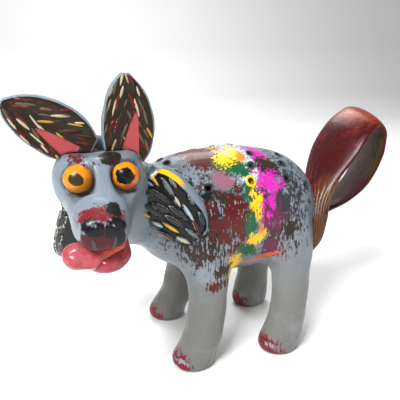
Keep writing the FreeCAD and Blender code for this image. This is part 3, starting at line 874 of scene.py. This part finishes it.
LOBE_BROWN = (0.02, 0.014, 0.010)
HOLE_LIP_AND_SHADE_BLACK = (0.018, 0.022, 0.024)
OLIVE_SHADE = (0.10, 0.10, 0.02)
OLIVE_BLACK = (0.035, 0.028, 0.012)
PALE_BLUE = (0.36, 0.43, 0.52)
EAR_BROWN = (0.020, 0.013, 0.007)
EDGE_HIGHLIGHT_GREY = (0.34, 0.36, 0.33)
EYE_ORANGE = (0.72, 0.23, 0.012)
EYE_DARK_ORANGE = (0.60, 0.11, 0.01)
JAW_RED = (0.29, 0.035, 0.052)
TONGUE_RED = (0.36, 0.050, 0.060)
TONGUE_PINK = (0.44, 0.10, 0.12)
TONGUE_ORANGE = (0.50, 0.075, 0.03)
MAROON = (0.055, 0.004, 0.004)
MAROON_DARK = (0.018, 0.004, 0.004)
MAROON_WARM = (0.15, 0.008, 0.008)
TAIL_ORANGE = (0.26, 0.035, 0.008)
BARE_BROWN = (0.055, 0.031, 0.010)
BARE_DARK = (0.024, 0.012, 0.005)
BARE_RED = (0.055, 0.005, 0.007)
TUFT_BROWN = (0.060, 0.022, 0.009)
TUFT_CREST = (0.20, 0.10, 0.040)
GROOVE_BLACK = (0.015, 0.005, 0.004)
SLIT_SHADE_BLACK = (0.006, 0.003, 0.003)
WOOD = (0.30, 0.165, 0.075)
WOOD_DARK = (0.12, 0.050, 0.022)
BRASS = (0.55, 0.36, 0.12)
BRASS_DARK = (0.28, 0.18, 0.08)
FLOOR_PALE = (0.86, 0.86, 0.86)
FLOOR_GREY = (0.82, 0.82, 0.83)

# Tints of the brush strokes, as (upper limit of the tint, colour).
EAR_STROKES = [(0.30, (0.10, 0.075, 0.045)), (0.42, (0.26, 0.22, 0.13)), (0.58, (0.46, 0.38, 0.25)),
               (0.66, (0.42, 0.22, 0.02)), (0.80, DARK_RED), (1.0, DARK_BROWN)]
RUFF_STROKES = [(0.46, CHARCOAL), (0.66, (0.14, 0.16, 0.18)), (0.76, (0.45, 0.42, 0.32)),
                (0.84, (0.60, 0.36, 0.02)), (0.91, DARK_RED), (1.0, PALE_BLUE)]


class Paint:
    """One painted material: a base colour with layers over it, then gloss and fine relief."""

    def __init__(self, name, base):
        self.material = bpy.data.materials.new(name)
        self.material.use_nodes = True
        self.tree = self.material.node_tree
        self.tree.nodes.clear()
        self.place = self.add("ShaderNodeTexCoord").outputs["Object"]
        self.colour = self.rgb(base)

    def add(self, kind, **settings):
        node = self.tree.nodes.new(kind)
        for key, value in settings.items():
            setattr(node, key, value)
        return node

    def link(self, source, target):
        if hasattr(source, "links"):
            self.tree.links.new(source, target)
        else:
            target.default_value = source

    def rgb(self, colour):
        node = self.add("ShaderNodeRGB")
        node.outputs[0].default_value = (*colour, 1.0)
        return node.outputs[0]

    def math(self, operation, a, b, clamp=False):
        node = self.add("ShaderNodeMath", operation=operation, use_clamp=clamp)
        self.link(a, node.inputs[0])
        self.link(b, node.inputs[1])
        return node.outputs[0]

    def times(self, a, b):
        return self.math("MULTIPLY", a, b)

    def plus(self, a, b):
        return self.math("ADD", a, b)

    def less(self, a, b, clamp=False):
        return self.math("SUBTRACT", a, b, clamp)

    def ramp(self, value, low, high):
        """0 below low and 1 above high, smooth between."""
        node = self.add("ShaderNodeMapRange", interpolation_type="SMOOTHSTEP")
        self.link(value, node.inputs["Value"])
        node.inputs["From Min"].default_value = low
        node.inputs["From Max"].default_value = high
        return node.outputs["Result"]

    def noise(self, scale, detail=3.0, stretch=(1, 1, 1), shift=0.0, roughness=0.6):
        mapping = self.add("ShaderNodeMapping")
        self.link(self.place, mapping.inputs["Vector"])
        mapping.inputs["Scale"].default_value = [scale * s for s in stretch]
        mapping.inputs["Location"].default_value = (shift, shift * 0.7, shift * 1.3)
        node = self.add("ShaderNodeTexNoise")
        self.link(mapping.outputs["Vector"], node.inputs["Vector"])
        node.inputs["Scale"].default_value = 1.0
        node.inputs["Detail"].default_value = detail
        node.inputs["Roughness"].default_value = roughness
        return node.outputs["Fac"]

    def mark(self, label):
        return self.add("ShaderNodeAttribute", attribute_name=label).outputs["Fac"]

    def mix(self, under, over, mask):
        node = self.add("ShaderNodeMix", data_type="RGBA")
        self.link(mask, node.inputs["Factor"])
        self.link(under, node.inputs["A"])
        self.link(over, node.inputs["B"])
        return node.outputs["Result"]

    def cover(self, colour, mask, strength=None):
        """Brush one more colour over what is there, thinner where a strength is given."""
        if strength is not None:
            mask = self.times(mask, strength)
        over = self.rgb(colour) if isinstance(colour, tuple) else colour
        self.colour = self.mix(self.colour, over, mask)

    def blob(self, centre, halves, tilt=0.0, warp=None, ragged=0.0, sharp=8.0):
        """Mask of a soft-edged spot, in millimetres, torn at its edge by the warp noise."""
        mapping = self.add("ShaderNodeMapping", vector_type="TEXTURE")
        self.link(self.place, mapping.inputs["Vector"])
        mapping.inputs["Location"].default_value = [c * MM for c in centre]
        mapping.inputs["Rotation"].default_value = (0, math.radians(tilt), 0)
        mapping.inputs["Scale"].default_value = [h * MM for h in halves]
        length = self.add("ShaderNodeVectorMath", operation="LENGTH")
        self.link(mapping.outputs["Vector"], length.inputs[0])
        inside = self.less(1.0, length.outputs["Value"])
        if warp is not None:
            inside = self.plus(inside, self.times(self.less(warp, 0.5), ragged * 2))
        return self.math("MULTIPLY", inside, sharp, clamp=True)

    def done(self, gloss, relief=None, relief_height=0.0002, coat=0.0, specular=0.15):
        """Finish with roughness that varies and a fine relief."""
        shader = self.add("ShaderNodeBsdfPrincipled")
        self.link(self.colour, shader.inputs["Base Color"])
        wear = self.ramp(self.noise(140, 4.0, shift=3.0), 0.35, 0.7)
        self.link(self.plus(gloss, self.times(wear, 0.12)), shader.inputs["Roughness"])
        shader.inputs["Coat Weight"].default_value = coat
        shader.inputs["Coat Roughness"].default_value = 0.12
        shader.inputs["Specular IOR Level"].default_value = specular
        bump = self.add("ShaderNodeBump")
        bump.inputs["Strength"].default_value = 0.5
        bump.inputs["Distance"].default_value = relief_height
        height = self.noise(420, 4.0, stretch=(1, 1, 0.5), shift=8.0)
        if relief:
            height = self.plus(height, self.times(relief, 2.0))
        self.link(height, bump.inputs["Height"])
        self.link(bump.outputs["Normal"], shader.inputs["Normal"])
        out = self.add("ShaderNodeOutputMaterial")
        self.link(shader.outputs["BSDF"], out.inputs["Surface"])
        return self.material


# Brushed colours on the trunk, first to last: colour, x, height, half length, half height,
# raggedness of the edge, and the tilt in degrees where there is one.
TRUNK_PATCHES = [
    (SMOKE, -8, 91, 14, 9, 1.1),
    (CHARCOAL, 12, 84, 20, 17, 1.1),
    (DARK_BROWN, -10, 77, 18, 14, 1.2),
    (BLACK, -12, 72, 16, 10, 1.4),
    (BROWN_RED, 0, 75, 15, 13, 1.35),
    (BROWN_RED, -10, 105, 13.4, 4.6, 0.7),
    (BROWN_RED, -17, 107, 10, 2, 0.5),
    (BROWN_RED, -44, 96, 3.5, 4, 0.8),
    (BLACK, -27, 93, 1.6, 3, 0.8),
    (BLACK, -23, 87, 4.2, 2.6, 0.8, 40),
    (BLACK, -16, 89.5, 2.6, 2, 0.7),
    (DARK_BROWN, -9, 87.5, 3.6, 3.4, 1.1),
    (WHITE, 2, 103.5, 6.5, 4.0, 1.0),
    (WHITE, 6.5, 98, 5.2, 5.4, 0.8),
    (MAUVE, -7, 96.5, 4.2, 4.2, 0.5),
    (GREEN, -1, 102, 7.4, 3.3, 0.7),
    (GREEN, 4, 98.6, 3.6, 2.2, 0.9),
    (YELLOW, 2, 105.6, 3.2, 1.9, 0.8),
    (YELLOW, -4, 104, 3.4, 2.2, 0.9),
    (ORANGE, 5.0, 104.6, 2.0, 1.4, 0.6),
    (MAGENTA, 15, 104, 5.0, 2.6, 0.7, 35),
    (DARK_BROWN, 18, 99, 6.4, 3.6, 0.45, 20),
    (MAGENTA, 15, 92.5, 6.4, 5.0, 0.9),
    (MAGENTA, 15.5, 82, 4.2, 8.0, 1.15),
    (GREEN, 5, 89.5, 2.8, 5.8, 0.8),
    (CHARCOAL, 12, 86.5, 2.6, 4.2, 0.8),
    (CHARCOAL, 23, 83, 4.8, 5.2, 0.6),
    (DARK_RED, -3, 79, 10.4, 4.8, 1.25),
    (BROWN_RED, 1, 73, 4.2, 6.0, 0.8),
    (YELLOW, 8.5, 81.5, 2.8, 7.4, 0.9),
    (GREEN, 5.5, 73.5, 2.8, 6.0, 0.8),
    (ORANGE, 11.5, 71.5, 2.2, 3.6, 0.7),
    (MAGENTA, 14.5, 77, 3.2, 8.0, 1.0),
    (PLUM, 18, 71, 6.0, 9.0, 1.1),
    (DARK_BROWN, 26, 69.5, 4.0, 4.0, 0.9),
    (DARK_BROWN, 17, 62, 6.5, 6.0, 1.0),
    (PLUM, 17, 60, 5.6, 4.6, 1.0),
    (YELLOW, 8.0, 66, 4.4, 2.8, 0.9, -38),
    (GREEN, 4.5, 60, 4.2, 3.2, 0.7),
    (YELLOW, -2, 52, 3.8, 5.2, 0.7),
    (RED_ORANGE, 12, 53.5, 8.0, 0.8, 0.8, -25),
    (DARK_BROWN, -9, 52, 4.4, 2.4, 0.9),
    (DARK_BROWN, -20, 62, 7.2, 4.2, 1.3),
    (BROWN_RED, -13.5, 45.5, 4.8, 2.0, 1.0),
]
# Half width that carries a patch through both flanks.
THROUGH = 400.0


# The snout's spots, first to last: colour, place from the muzzle's front, half sizes, tilt,
# raggedness of the edge, its sharpness, and how thickly it is brushed on where it is thin.
SNOUT_SPOTS = [
    (CRIMSON, (0.0, 5.5, 5.0), (9.6, 6.0, 4.6), 0, 0.3, 7),
    (NOSE_RED, (-0.5, -1.0, -3.0), (9.6, 7.0, 6.8), 0, 0.15, 8),
    (CRIMSON, (0.4, -1.0, -5.6), (7.0, 7.0, 1.6), 0, 1.0, 5, 0.6),
    (BLACK, (4.4, 6.2, 7.2), (3.0, 4.0, 4.0), 0, 0.2, 9),
    (BLACK, (-3.8, 0.0, 3.4), (5.0, 5.5, 3.2), 24, 0.2, 9),
    (BLACK, (4.4, 0.0, 2.8), (5.2, 5.5, 3.8), -26, 0.2, 9),
    (BLACK, (5.2, 0.0, -0.6), (2.6, 5.5, 3.4), 0, 0.2, 9),
    # The two pale blue streaks are painted highlights on the black nostril lobes.
    (PALE_BLUE, (-3.4, 0.0, 4.4), (1.5, 5.5, 0.5), 20, 1.0, 5, 0.35),
    (PALE_BLUE, (2.8, 0.0, 3.8), (1.5, 5.5, 0.5), 20, 1.0, 5, 0.35),
    (NOTCH_GREY, (-3.6, 0.0, -3.4), (0.8, 3.5, 3.0), -14, 0.4, 6),
    (NOTCH_GREY, (3.6, 0.0, -3.4), (0.8, 3.5, 3.0), 14, 0.4, 6),
]


def body_paint():
    """Blue-grey gloss with a painted warm bounce light low down, dry-brushed colours over the trunk,
    crimson toes with painted glints, a painted snout, and dark-lipped holes with painted shade in their
    bores.
    """
    paint = Paint("painted_body", GREY)
    bristle = paint.noise(900, 4.0, stretch=(1, 1, 0.2), shift=1.0, roughness=0.7)
    blot = paint.noise(260, 5.0, shift=5.0, roughness=0.7)
    cloud = paint.noise(60, 3.0, shift=2.0)
    # Painted light: warm grey over the low body stands for warm light bounced up from below.
    paint.cover(WARM_BOUNCE_GREY, warm_bounce_mask(paint), 0.75)
    paint.cover(PALE_BLUE, paint.ramp(cloud, 0.5, 0.75), 0.25)
    paint.cover(SMOKE, paint.ramp(bristle, 0.56, 0.75), 0.22)
    torn = paint.ramp(paint.plus(paint.times(bristle, 0.6), paint.times(blot, 0.4)), 0.36, 0.64)
    for colour, x, height, half_x, half_z, ragged, *tilt in TRUNK_PATCHES:
        halves = (half_x * 1.15 + 0.4, THROUGH, half_z * 1.15 + 0.4)
        paint.cover(colour, paint.blob((x, 0, height), halves, sum(tilt), torn, ragged * 0.75, 9.0))
    # The head forward of the trunk, which the trunk's brushed bands don't reach.
    paint.cover(GREY, paint.blob(SKULL + (-4, -14, -6), (30, 34, 40), sharp=20.0))
    paint_face(paint, torn)
    paint_toes(paint, torn)
    # Dark paint on each hole's raised lip, carried down the bore as painted shade; the yellow-ringed hole
    # gets painted olive shade inside.
    ragged_lip_and_bore = paint.less(paint.mark("hole"), paint.times(torn, 0.35))
    paint.cover(HOLE_LIP_AND_SHADE_BLACK, paint.ramp(ragged_lip_and_bore, 0.2, 0.45), 0.9)
    paint.cover(YELLOW, paint.blob(RINGED_HOLE, (3.0, 4.0, 3.0)))
    paint.cover(OLIVE_SHADE, paint.blob(RINGED_HOLE, (1.7, 4.0, 1.7)))
    return paint.done(0.28, relief=bristle, relief_height=0.00022, coat=0.2)


def warm_bounce_mask(paint):
    """Mask of the painted warm bounce light: one near the ground, nothing on the back."""
    split = paint.add("ShaderNodeSeparateXYZ")
    paint.link(paint.place, split.inputs[0])
    return paint.less(1.0, paint.ramp(split.outputs["Z"], 0.02, 0.085))


def paint_face(paint, torn):
    """Crimson bridge, black nostril lobes with painted highlights, a dark red front, painted shade in the
    eye sockets, and forehead marks.
    """
    for colour, offset, halves, tilt, ragged, sharp, *strength in SNOUT_SPOTS:
        spot = paint.blob(MUZZLE_FRONT + offset, halves, tilt, torn, ragged, sharp)
        paint.cover(colour, spot, *strength)
    # Painted shade: dark grey over each eye's recess around its bead.
    for eye in EYES.values():
        paint.cover(SOCKET_SHADE_GREY, paint.blob(eye, (7.6, 9.0, 7.6), 0, torn, 0.1, 5.0))
    lobe = SKULL + (3.8, -14.0, 10.8)
    paint.cover(LOBE_BROWN, paint.blob(lobe, (4.8, 9.0, 3.4), 0, torn, 0.12, 9.0))
    brow = SKULL + (-10.5, -14, 10.5)
    paint.cover(DARK_RED, paint.blob(brow, (5.5, 9.0, 1.6), 20, torn, 1.2, 7.0))


def paint_toes(paint, torn):
    for name, (shin_x, side, reach) in LEGS.items():
        toe_x = shin_x - reach - LEG_HALF_LENGTH
        spread = 12.0 if name == "leg_rear_left" else 10.0
        spot = (toe_x + 1.5, side * (LEG_TRACK + 1), 2.0)
        paint.cover(CRIMSON, paint.blob(spot, (spread, 11.0, 8.0), 20, torn, 0.35, 9.0))
        # Painted highlight: a pale blue glint on each toe.
        glint = (toe_x + 3.5, side * (LEG_TRACK + 5), 5.5)
        paint.cover(PALE_BLUE, paint.blob(glint, (2.4, 5.0, 0.9), 20, torn, 1.2, 6.0), 0.6)


def cover_strokes(paint, bands, bristle, low, high):
    """Brush on the strokes of a leaf, each in the colour that its tint picks; gives their mask."""
    tint = paint.mark("tint")
    picked = paint.rgb(bands[0][1])
    for (below, _), (_, colour) in zip(bands, bands[1:]):
        picked = paint.mix(picked, paint.rgb(colour), paint.ramp(tint, below - 0.01, below + 0.01))
    stroke = paint.plus(paint.mark("stroke"), paint.times(bristle, 0.5))
    paint.cover(picked, paint.ramp(stroke, low, high))
    return stroke


def ear_paint():
    """Grey back and rim, a dark brown face with cream, yellow and red strokes, and a pink scoop."""
    paint = Paint("ear_paint", GREY)
    bristle = paint.noise(700, 4.0, shift=4.0, roughness=0.7)
    paint.cover(SMOKE, paint.ramp(bristle, 0.5, 0.75), 0.4)
    face = paint.ramp(paint.plus(paint.mark("face"), paint.times(bristle, 0.3)), 0.4, 0.7)
    paint.cover(EAR_BROWN, face)
    paint.cover(DARK_RED, face, paint.ramp(paint.noise(220, 3.0, shift=6.0), 0.56, 0.66))
    cover_strokes(paint, EAR_STROKES, bristle, 0.5, 0.72)
    paint.cover(PINK, paint.ramp(paint.mark("pink"), 0.35, 0.65))
    return paint.done(0.3, relief=paint.mark("stroke"), coat=0.15)


def ruff_paint():
    """Black gouged strands with pale, yellow and dark red crests and painted highlight lines along their
    edges, under a smooth grey rim.
    """
    paint = Paint("ruff_paint", BLACK)
    bristle = paint.noise(800, 4.0, shift=7.0, roughness=0.7)
    stroke = cover_strokes(paint, RUFF_STROKES, bristle, 0.62, 0.85)
    # Painted highlight: a pale grey line along the edge of each strand.
    lit_edge = paint.less(paint.ramp(stroke, 0.42, 0.52), paint.ramp(stroke, 0.60, 0.70), clamp=True)
    paint.cover(EDGE_HIGHLIGHT_GREY, lit_edge, paint.ramp(bristle, 0.42, 0.52))
    rim, along, edge = (paint.mark(label) for label in ("rim", "along", "edge"))
    rim = paint.ramp(rim, 0.4, 0.7)
    paint.cover(GREY, rim)
    streak = paint.times(rim, paint.less(1.0, paint.ramp(along, 0.26, 0.40)))
    streak = paint.times(streak, paint.ramp(along, 0.04, 0.10))
    streak = paint.times(streak, paint.ramp(edge, 0.30, 0.40))
    paint.cover(YELLOW, streak, paint.ramp(bristle, 0.25, 0.4))
    paint.cover(DARK_RED, streak, paint.ramp(edge, 0.74, 0.80))
    return paint.done(0.22, relief=paint.mark("stroke"), coat=0.3)


def eye_paint():
    """An orange bead with an uneven dark pupil, black on the left and olive on the right."""
    paint = Paint("eye_paint", EYE_ORANGE)
    grain = paint.noise(380, 4.0, shift=2.0)
    paint.cover(EYE_DARK_ORANGE, paint.ramp(grain, 0.5, 0.7), 0.7)
    left, right = EYES["left"], EYES["right"]
    paint.cover(RED_ORANGE, paint.blob(left + (2.6, -5, -4.4), (4.2, 6, 2.4), 20, grain, 0.4, 6.0))
    paint.cover(BLACK, paint.blob(left + (-0.5, -5, 0.9), (3.8, 7, 3.4), 10, grain, 0.5, 12.0))
    paint.cover(OLIVE_BLACK, paint.blob(right + (-0.9, -5, 0.9), (3.0, 7, 2.8), 30, grain, 0.5, 12.0))
    return paint.done(0.2, coat=0.12)


def jaw_paint():
    paint = Paint("painted_jaw", JAW_RED)
    blot = paint.noise(240, 4.0, shift=3.0)
    paint.cover(PINK, paint.ramp(blot, 0.42, 0.66), 0.7)
    low, _ = corners("lower_jaw")
    rim = (HEAD_X, low[1] + 4, low[2] - 0.4)
    paint.cover(CREAM, paint.blob(rim, (7.5, 9.0, 1.9), 0, blot, 0.7, 6.0))
    return paint.done(0.2, coat=0.35)


def tongue_paint():
    paint = Paint("painted_tongue", TONGUE_RED)
    blot = paint.noise(260, 4.0, shift=9.0)
    paint.cover(TONGUE_PINK, paint.ramp(blot, 0.4, 0.65), 0.7)
    low, high = corners("tongue")
    root = (high[0] - 4.0, low[1] + 4.0, high[2] - 1.0)
    paint.cover(TONGUE_ORANGE, paint.blob(root, (8.0, 9.0, 5.0), 0, blot, 0.6, 3.0))
    return paint.done(0.18, coat=0.4)


def tail_paint():
    """Maroon lacquer outside, orange-red on top, and bare varnished grain inside and on the tuft."""
    paint = Paint("varnished_tail", MAROON)
    along, groove = paint.mark("along"), paint.mark("groove")
    grain = paint.noise(420, 5.0, stretch=(0.35, 1.6, 0.35), shift=3.0, roughness=0.65)
    paint.cover(MAROON_DARK, paint.ramp(grain, 0.50, 0.72))
    crown = (TAIL_STATIONS[8][0], 0, corners("tail")[1][2])
    paint.cover(TAIL_ORANGE, paint.blob(crown, (24, 40, 9), 0, grain, 0.8, 2.0), 0.8)
    paint.cover(MAROON_WARM, paint.ramp(paint.noise(90, 3.0, shift=12.0), 0.56, 0.70), 0.8)
    inner = paint.ramp(paint.mark("outer"), 0.1, 0.5)
    paint.cover(BARE_BROWN, inner)
    paint.cover(BARE_RED, inner, paint.less(1.0, paint.ramp(along, 0.27, 0.33)))
    paint.cover(BARE_DARK, inner, paint.ramp(grain, 0.5, 0.6))
    near = paint.less(1.0, paint.ramp(paint.plus(paint.mark("across"), grain), 0.0, 0.9))
    tuft = paint.times(paint.ramp(along, TUFT_START, TUFT_START + 0.1), near)
    paint.cover(TUFT_BROWN, tuft, 0.9)
    crest = paint.less(tuft, paint.ramp(groove, 0.0, 0.25), clamp=True)
    paint.cover(TUFT_CREST, crest, 0.45)
    paint.cover(GROOVE_BLACK, paint.ramp(groove, 0.40, 0.80))
    # Painted shade: black down the slit, where a deeper cut would be dark.
    paint.cover(SLIT_SHADE_BLACK, paint.ramp(paint.mark("slit"), 0.3, 0.7))
    gloss = paint.plus(0.24, paint.times(inner, 0.35))
    return paint.done(gloss, relief=grain, coat=0.06, specular=0.2)


def wood_paint():
    """Turned dowel wood with its long grain."""
    paint = Paint("bare_wood", WOOD)
    grain = paint.noise(700, 5.0, stretch=(1, 1, 0.15), shift=2.0)
    paint.cover(WOOD_DARK, paint.ramp(grain, 0.5, 0.7))
    return paint.done(0.55, relief=grain)


def brass_paint():
    paint = Paint("brad_brass", BRASS)
    paint.cover(BRASS_DARK, paint.ramp(paint.noise(500, 4.0, shift=1.0), 0.45, 0.65))
    material = paint.done(0.3)
    shader = next(node for node in paint.tree.nodes if node.type == "BSDF_PRINCIPLED")
    shader.inputs["Metallic"].default_value = 0.9
    return material


# ---------------------------------------------------------------- studio

CAMERA_PLACE = (-0.0783, -0.2167, 0.1493)
CAMERA_AIM = (-0.012, 0.0, 0.080)


def aim(thing, place, target):
    thing.location = place
    thing.rotation_mode = "QUATERNION"
    thing.rotation_quaternion = (Vector(target) - Vector(place)).to_track_quat("-Z", "Y")


def build_camera():
    camera = bpy.data.objects.new("camera", bpy.data.cameras.new("camera"))
    bpy.context.scene.collection.objects.link(camera)
    camera.data.lens = 40.5
    camera.data.sensor_width = 36.0
    camera.data.clip_start = 0.01
    aim(camera, CAMERA_PLACE, CAMERA_AIM)
    bpy.context.scene.camera = camera


def lamp(name, place, target, power, width, colour=(1, 1, 1)):
    light = bpy.data.lights.new(name, "AREA")
    light.energy = power
    light.size = width
    light.color = colour
    thing = bpy.data.objects.new(name, light)
    bpy.context.scene.collection.objects.link(thing)
    aim(thing, place, target)


def build_floor():
    """A pale sweep that rises behind the figure."""
    profile = [(-1.2, 0.0), (0.9, 0.0), (1.15, 0.05), (1.3, 0.2), (1.35, 0.45), (1.35, 1.6)]
    width = 2.4
    points = [(x / MM, y / MM, z / MM) for y, z in profile for x in (-width, width)]
    quads = np.array([(2 * i, 2 * i + 1, 2 * i + 3, 2 * i + 2) for i in range(len(profile) - 1)])
    floor = mesh_object("studio_floor", np.array(points), quads)
    paint = Paint("studio_floor", FLOOR_PALE)
    paint.cover(FLOOR_GREY, paint.noise(3.0), 0.4)
    floor.data.materials.append(paint.done(0.7))


def build_studio():
    build_floor()
    build_camera()
    aim_point = (0, 0, 0.07)
    lamp("window", (-0.42, -0.42, 0.70), aim_point, 11.0, 0.30)
    lamp("fill", (0.75, -0.6, 0.35), aim_point, 1.6, 0.7, (1.0, 0.97, 0.92))
    lamp("back", (0.1, 0.7, 0.9), (0.0, 0.35, 0.1), 9.0, 0.6)
    world = bpy.data.worlds.new("studio")
    world.use_nodes = True
    world.node_tree.nodes["Background"].inputs["Color"].default_value = (1, 1, 1, 1)
    world.node_tree.nodes["Background"].inputs["Strength"].default_value = 0.30
    bpy.context.scene.world = world
    bpy.context.scene.view_settings.view_transform = "Standard"


# ---------------------------------------------------------------- the figure

WOODEN_PINS = ("neck_dowel", "jaw_dowel", "ear_peg_left", "ear_peg_right", "leg_dowels", "tail_peg")


def dress_kept_nodes():
    """Dowels, pegs and brads keep their CAD shape and get their own finish."""
    wood, brass = wood_paint(), brass_paint()
    for name in (*WOODEN_PINS, "ruff_brads"):
        node = frame["nodes"][name]
        node.data.materials.clear()
        node.data.materials.append(wood if name in WOODEN_PINS else brass)


def build_figure():
    skin_paint = body_paint()
    build_torso(skin_paint)
    build_legs(skin_paint)
    build_head(skin_paint)
    build_eyes(eye_paint())
    build_jaw(jaw_paint())
    build_tongue(tongue_paint())
    build_ears(ear_paint())
    build_ruffs(ruff_paint())
    build_tail(tail_paint())
    dress_kept_nodes()


build_figure()
build_studio()
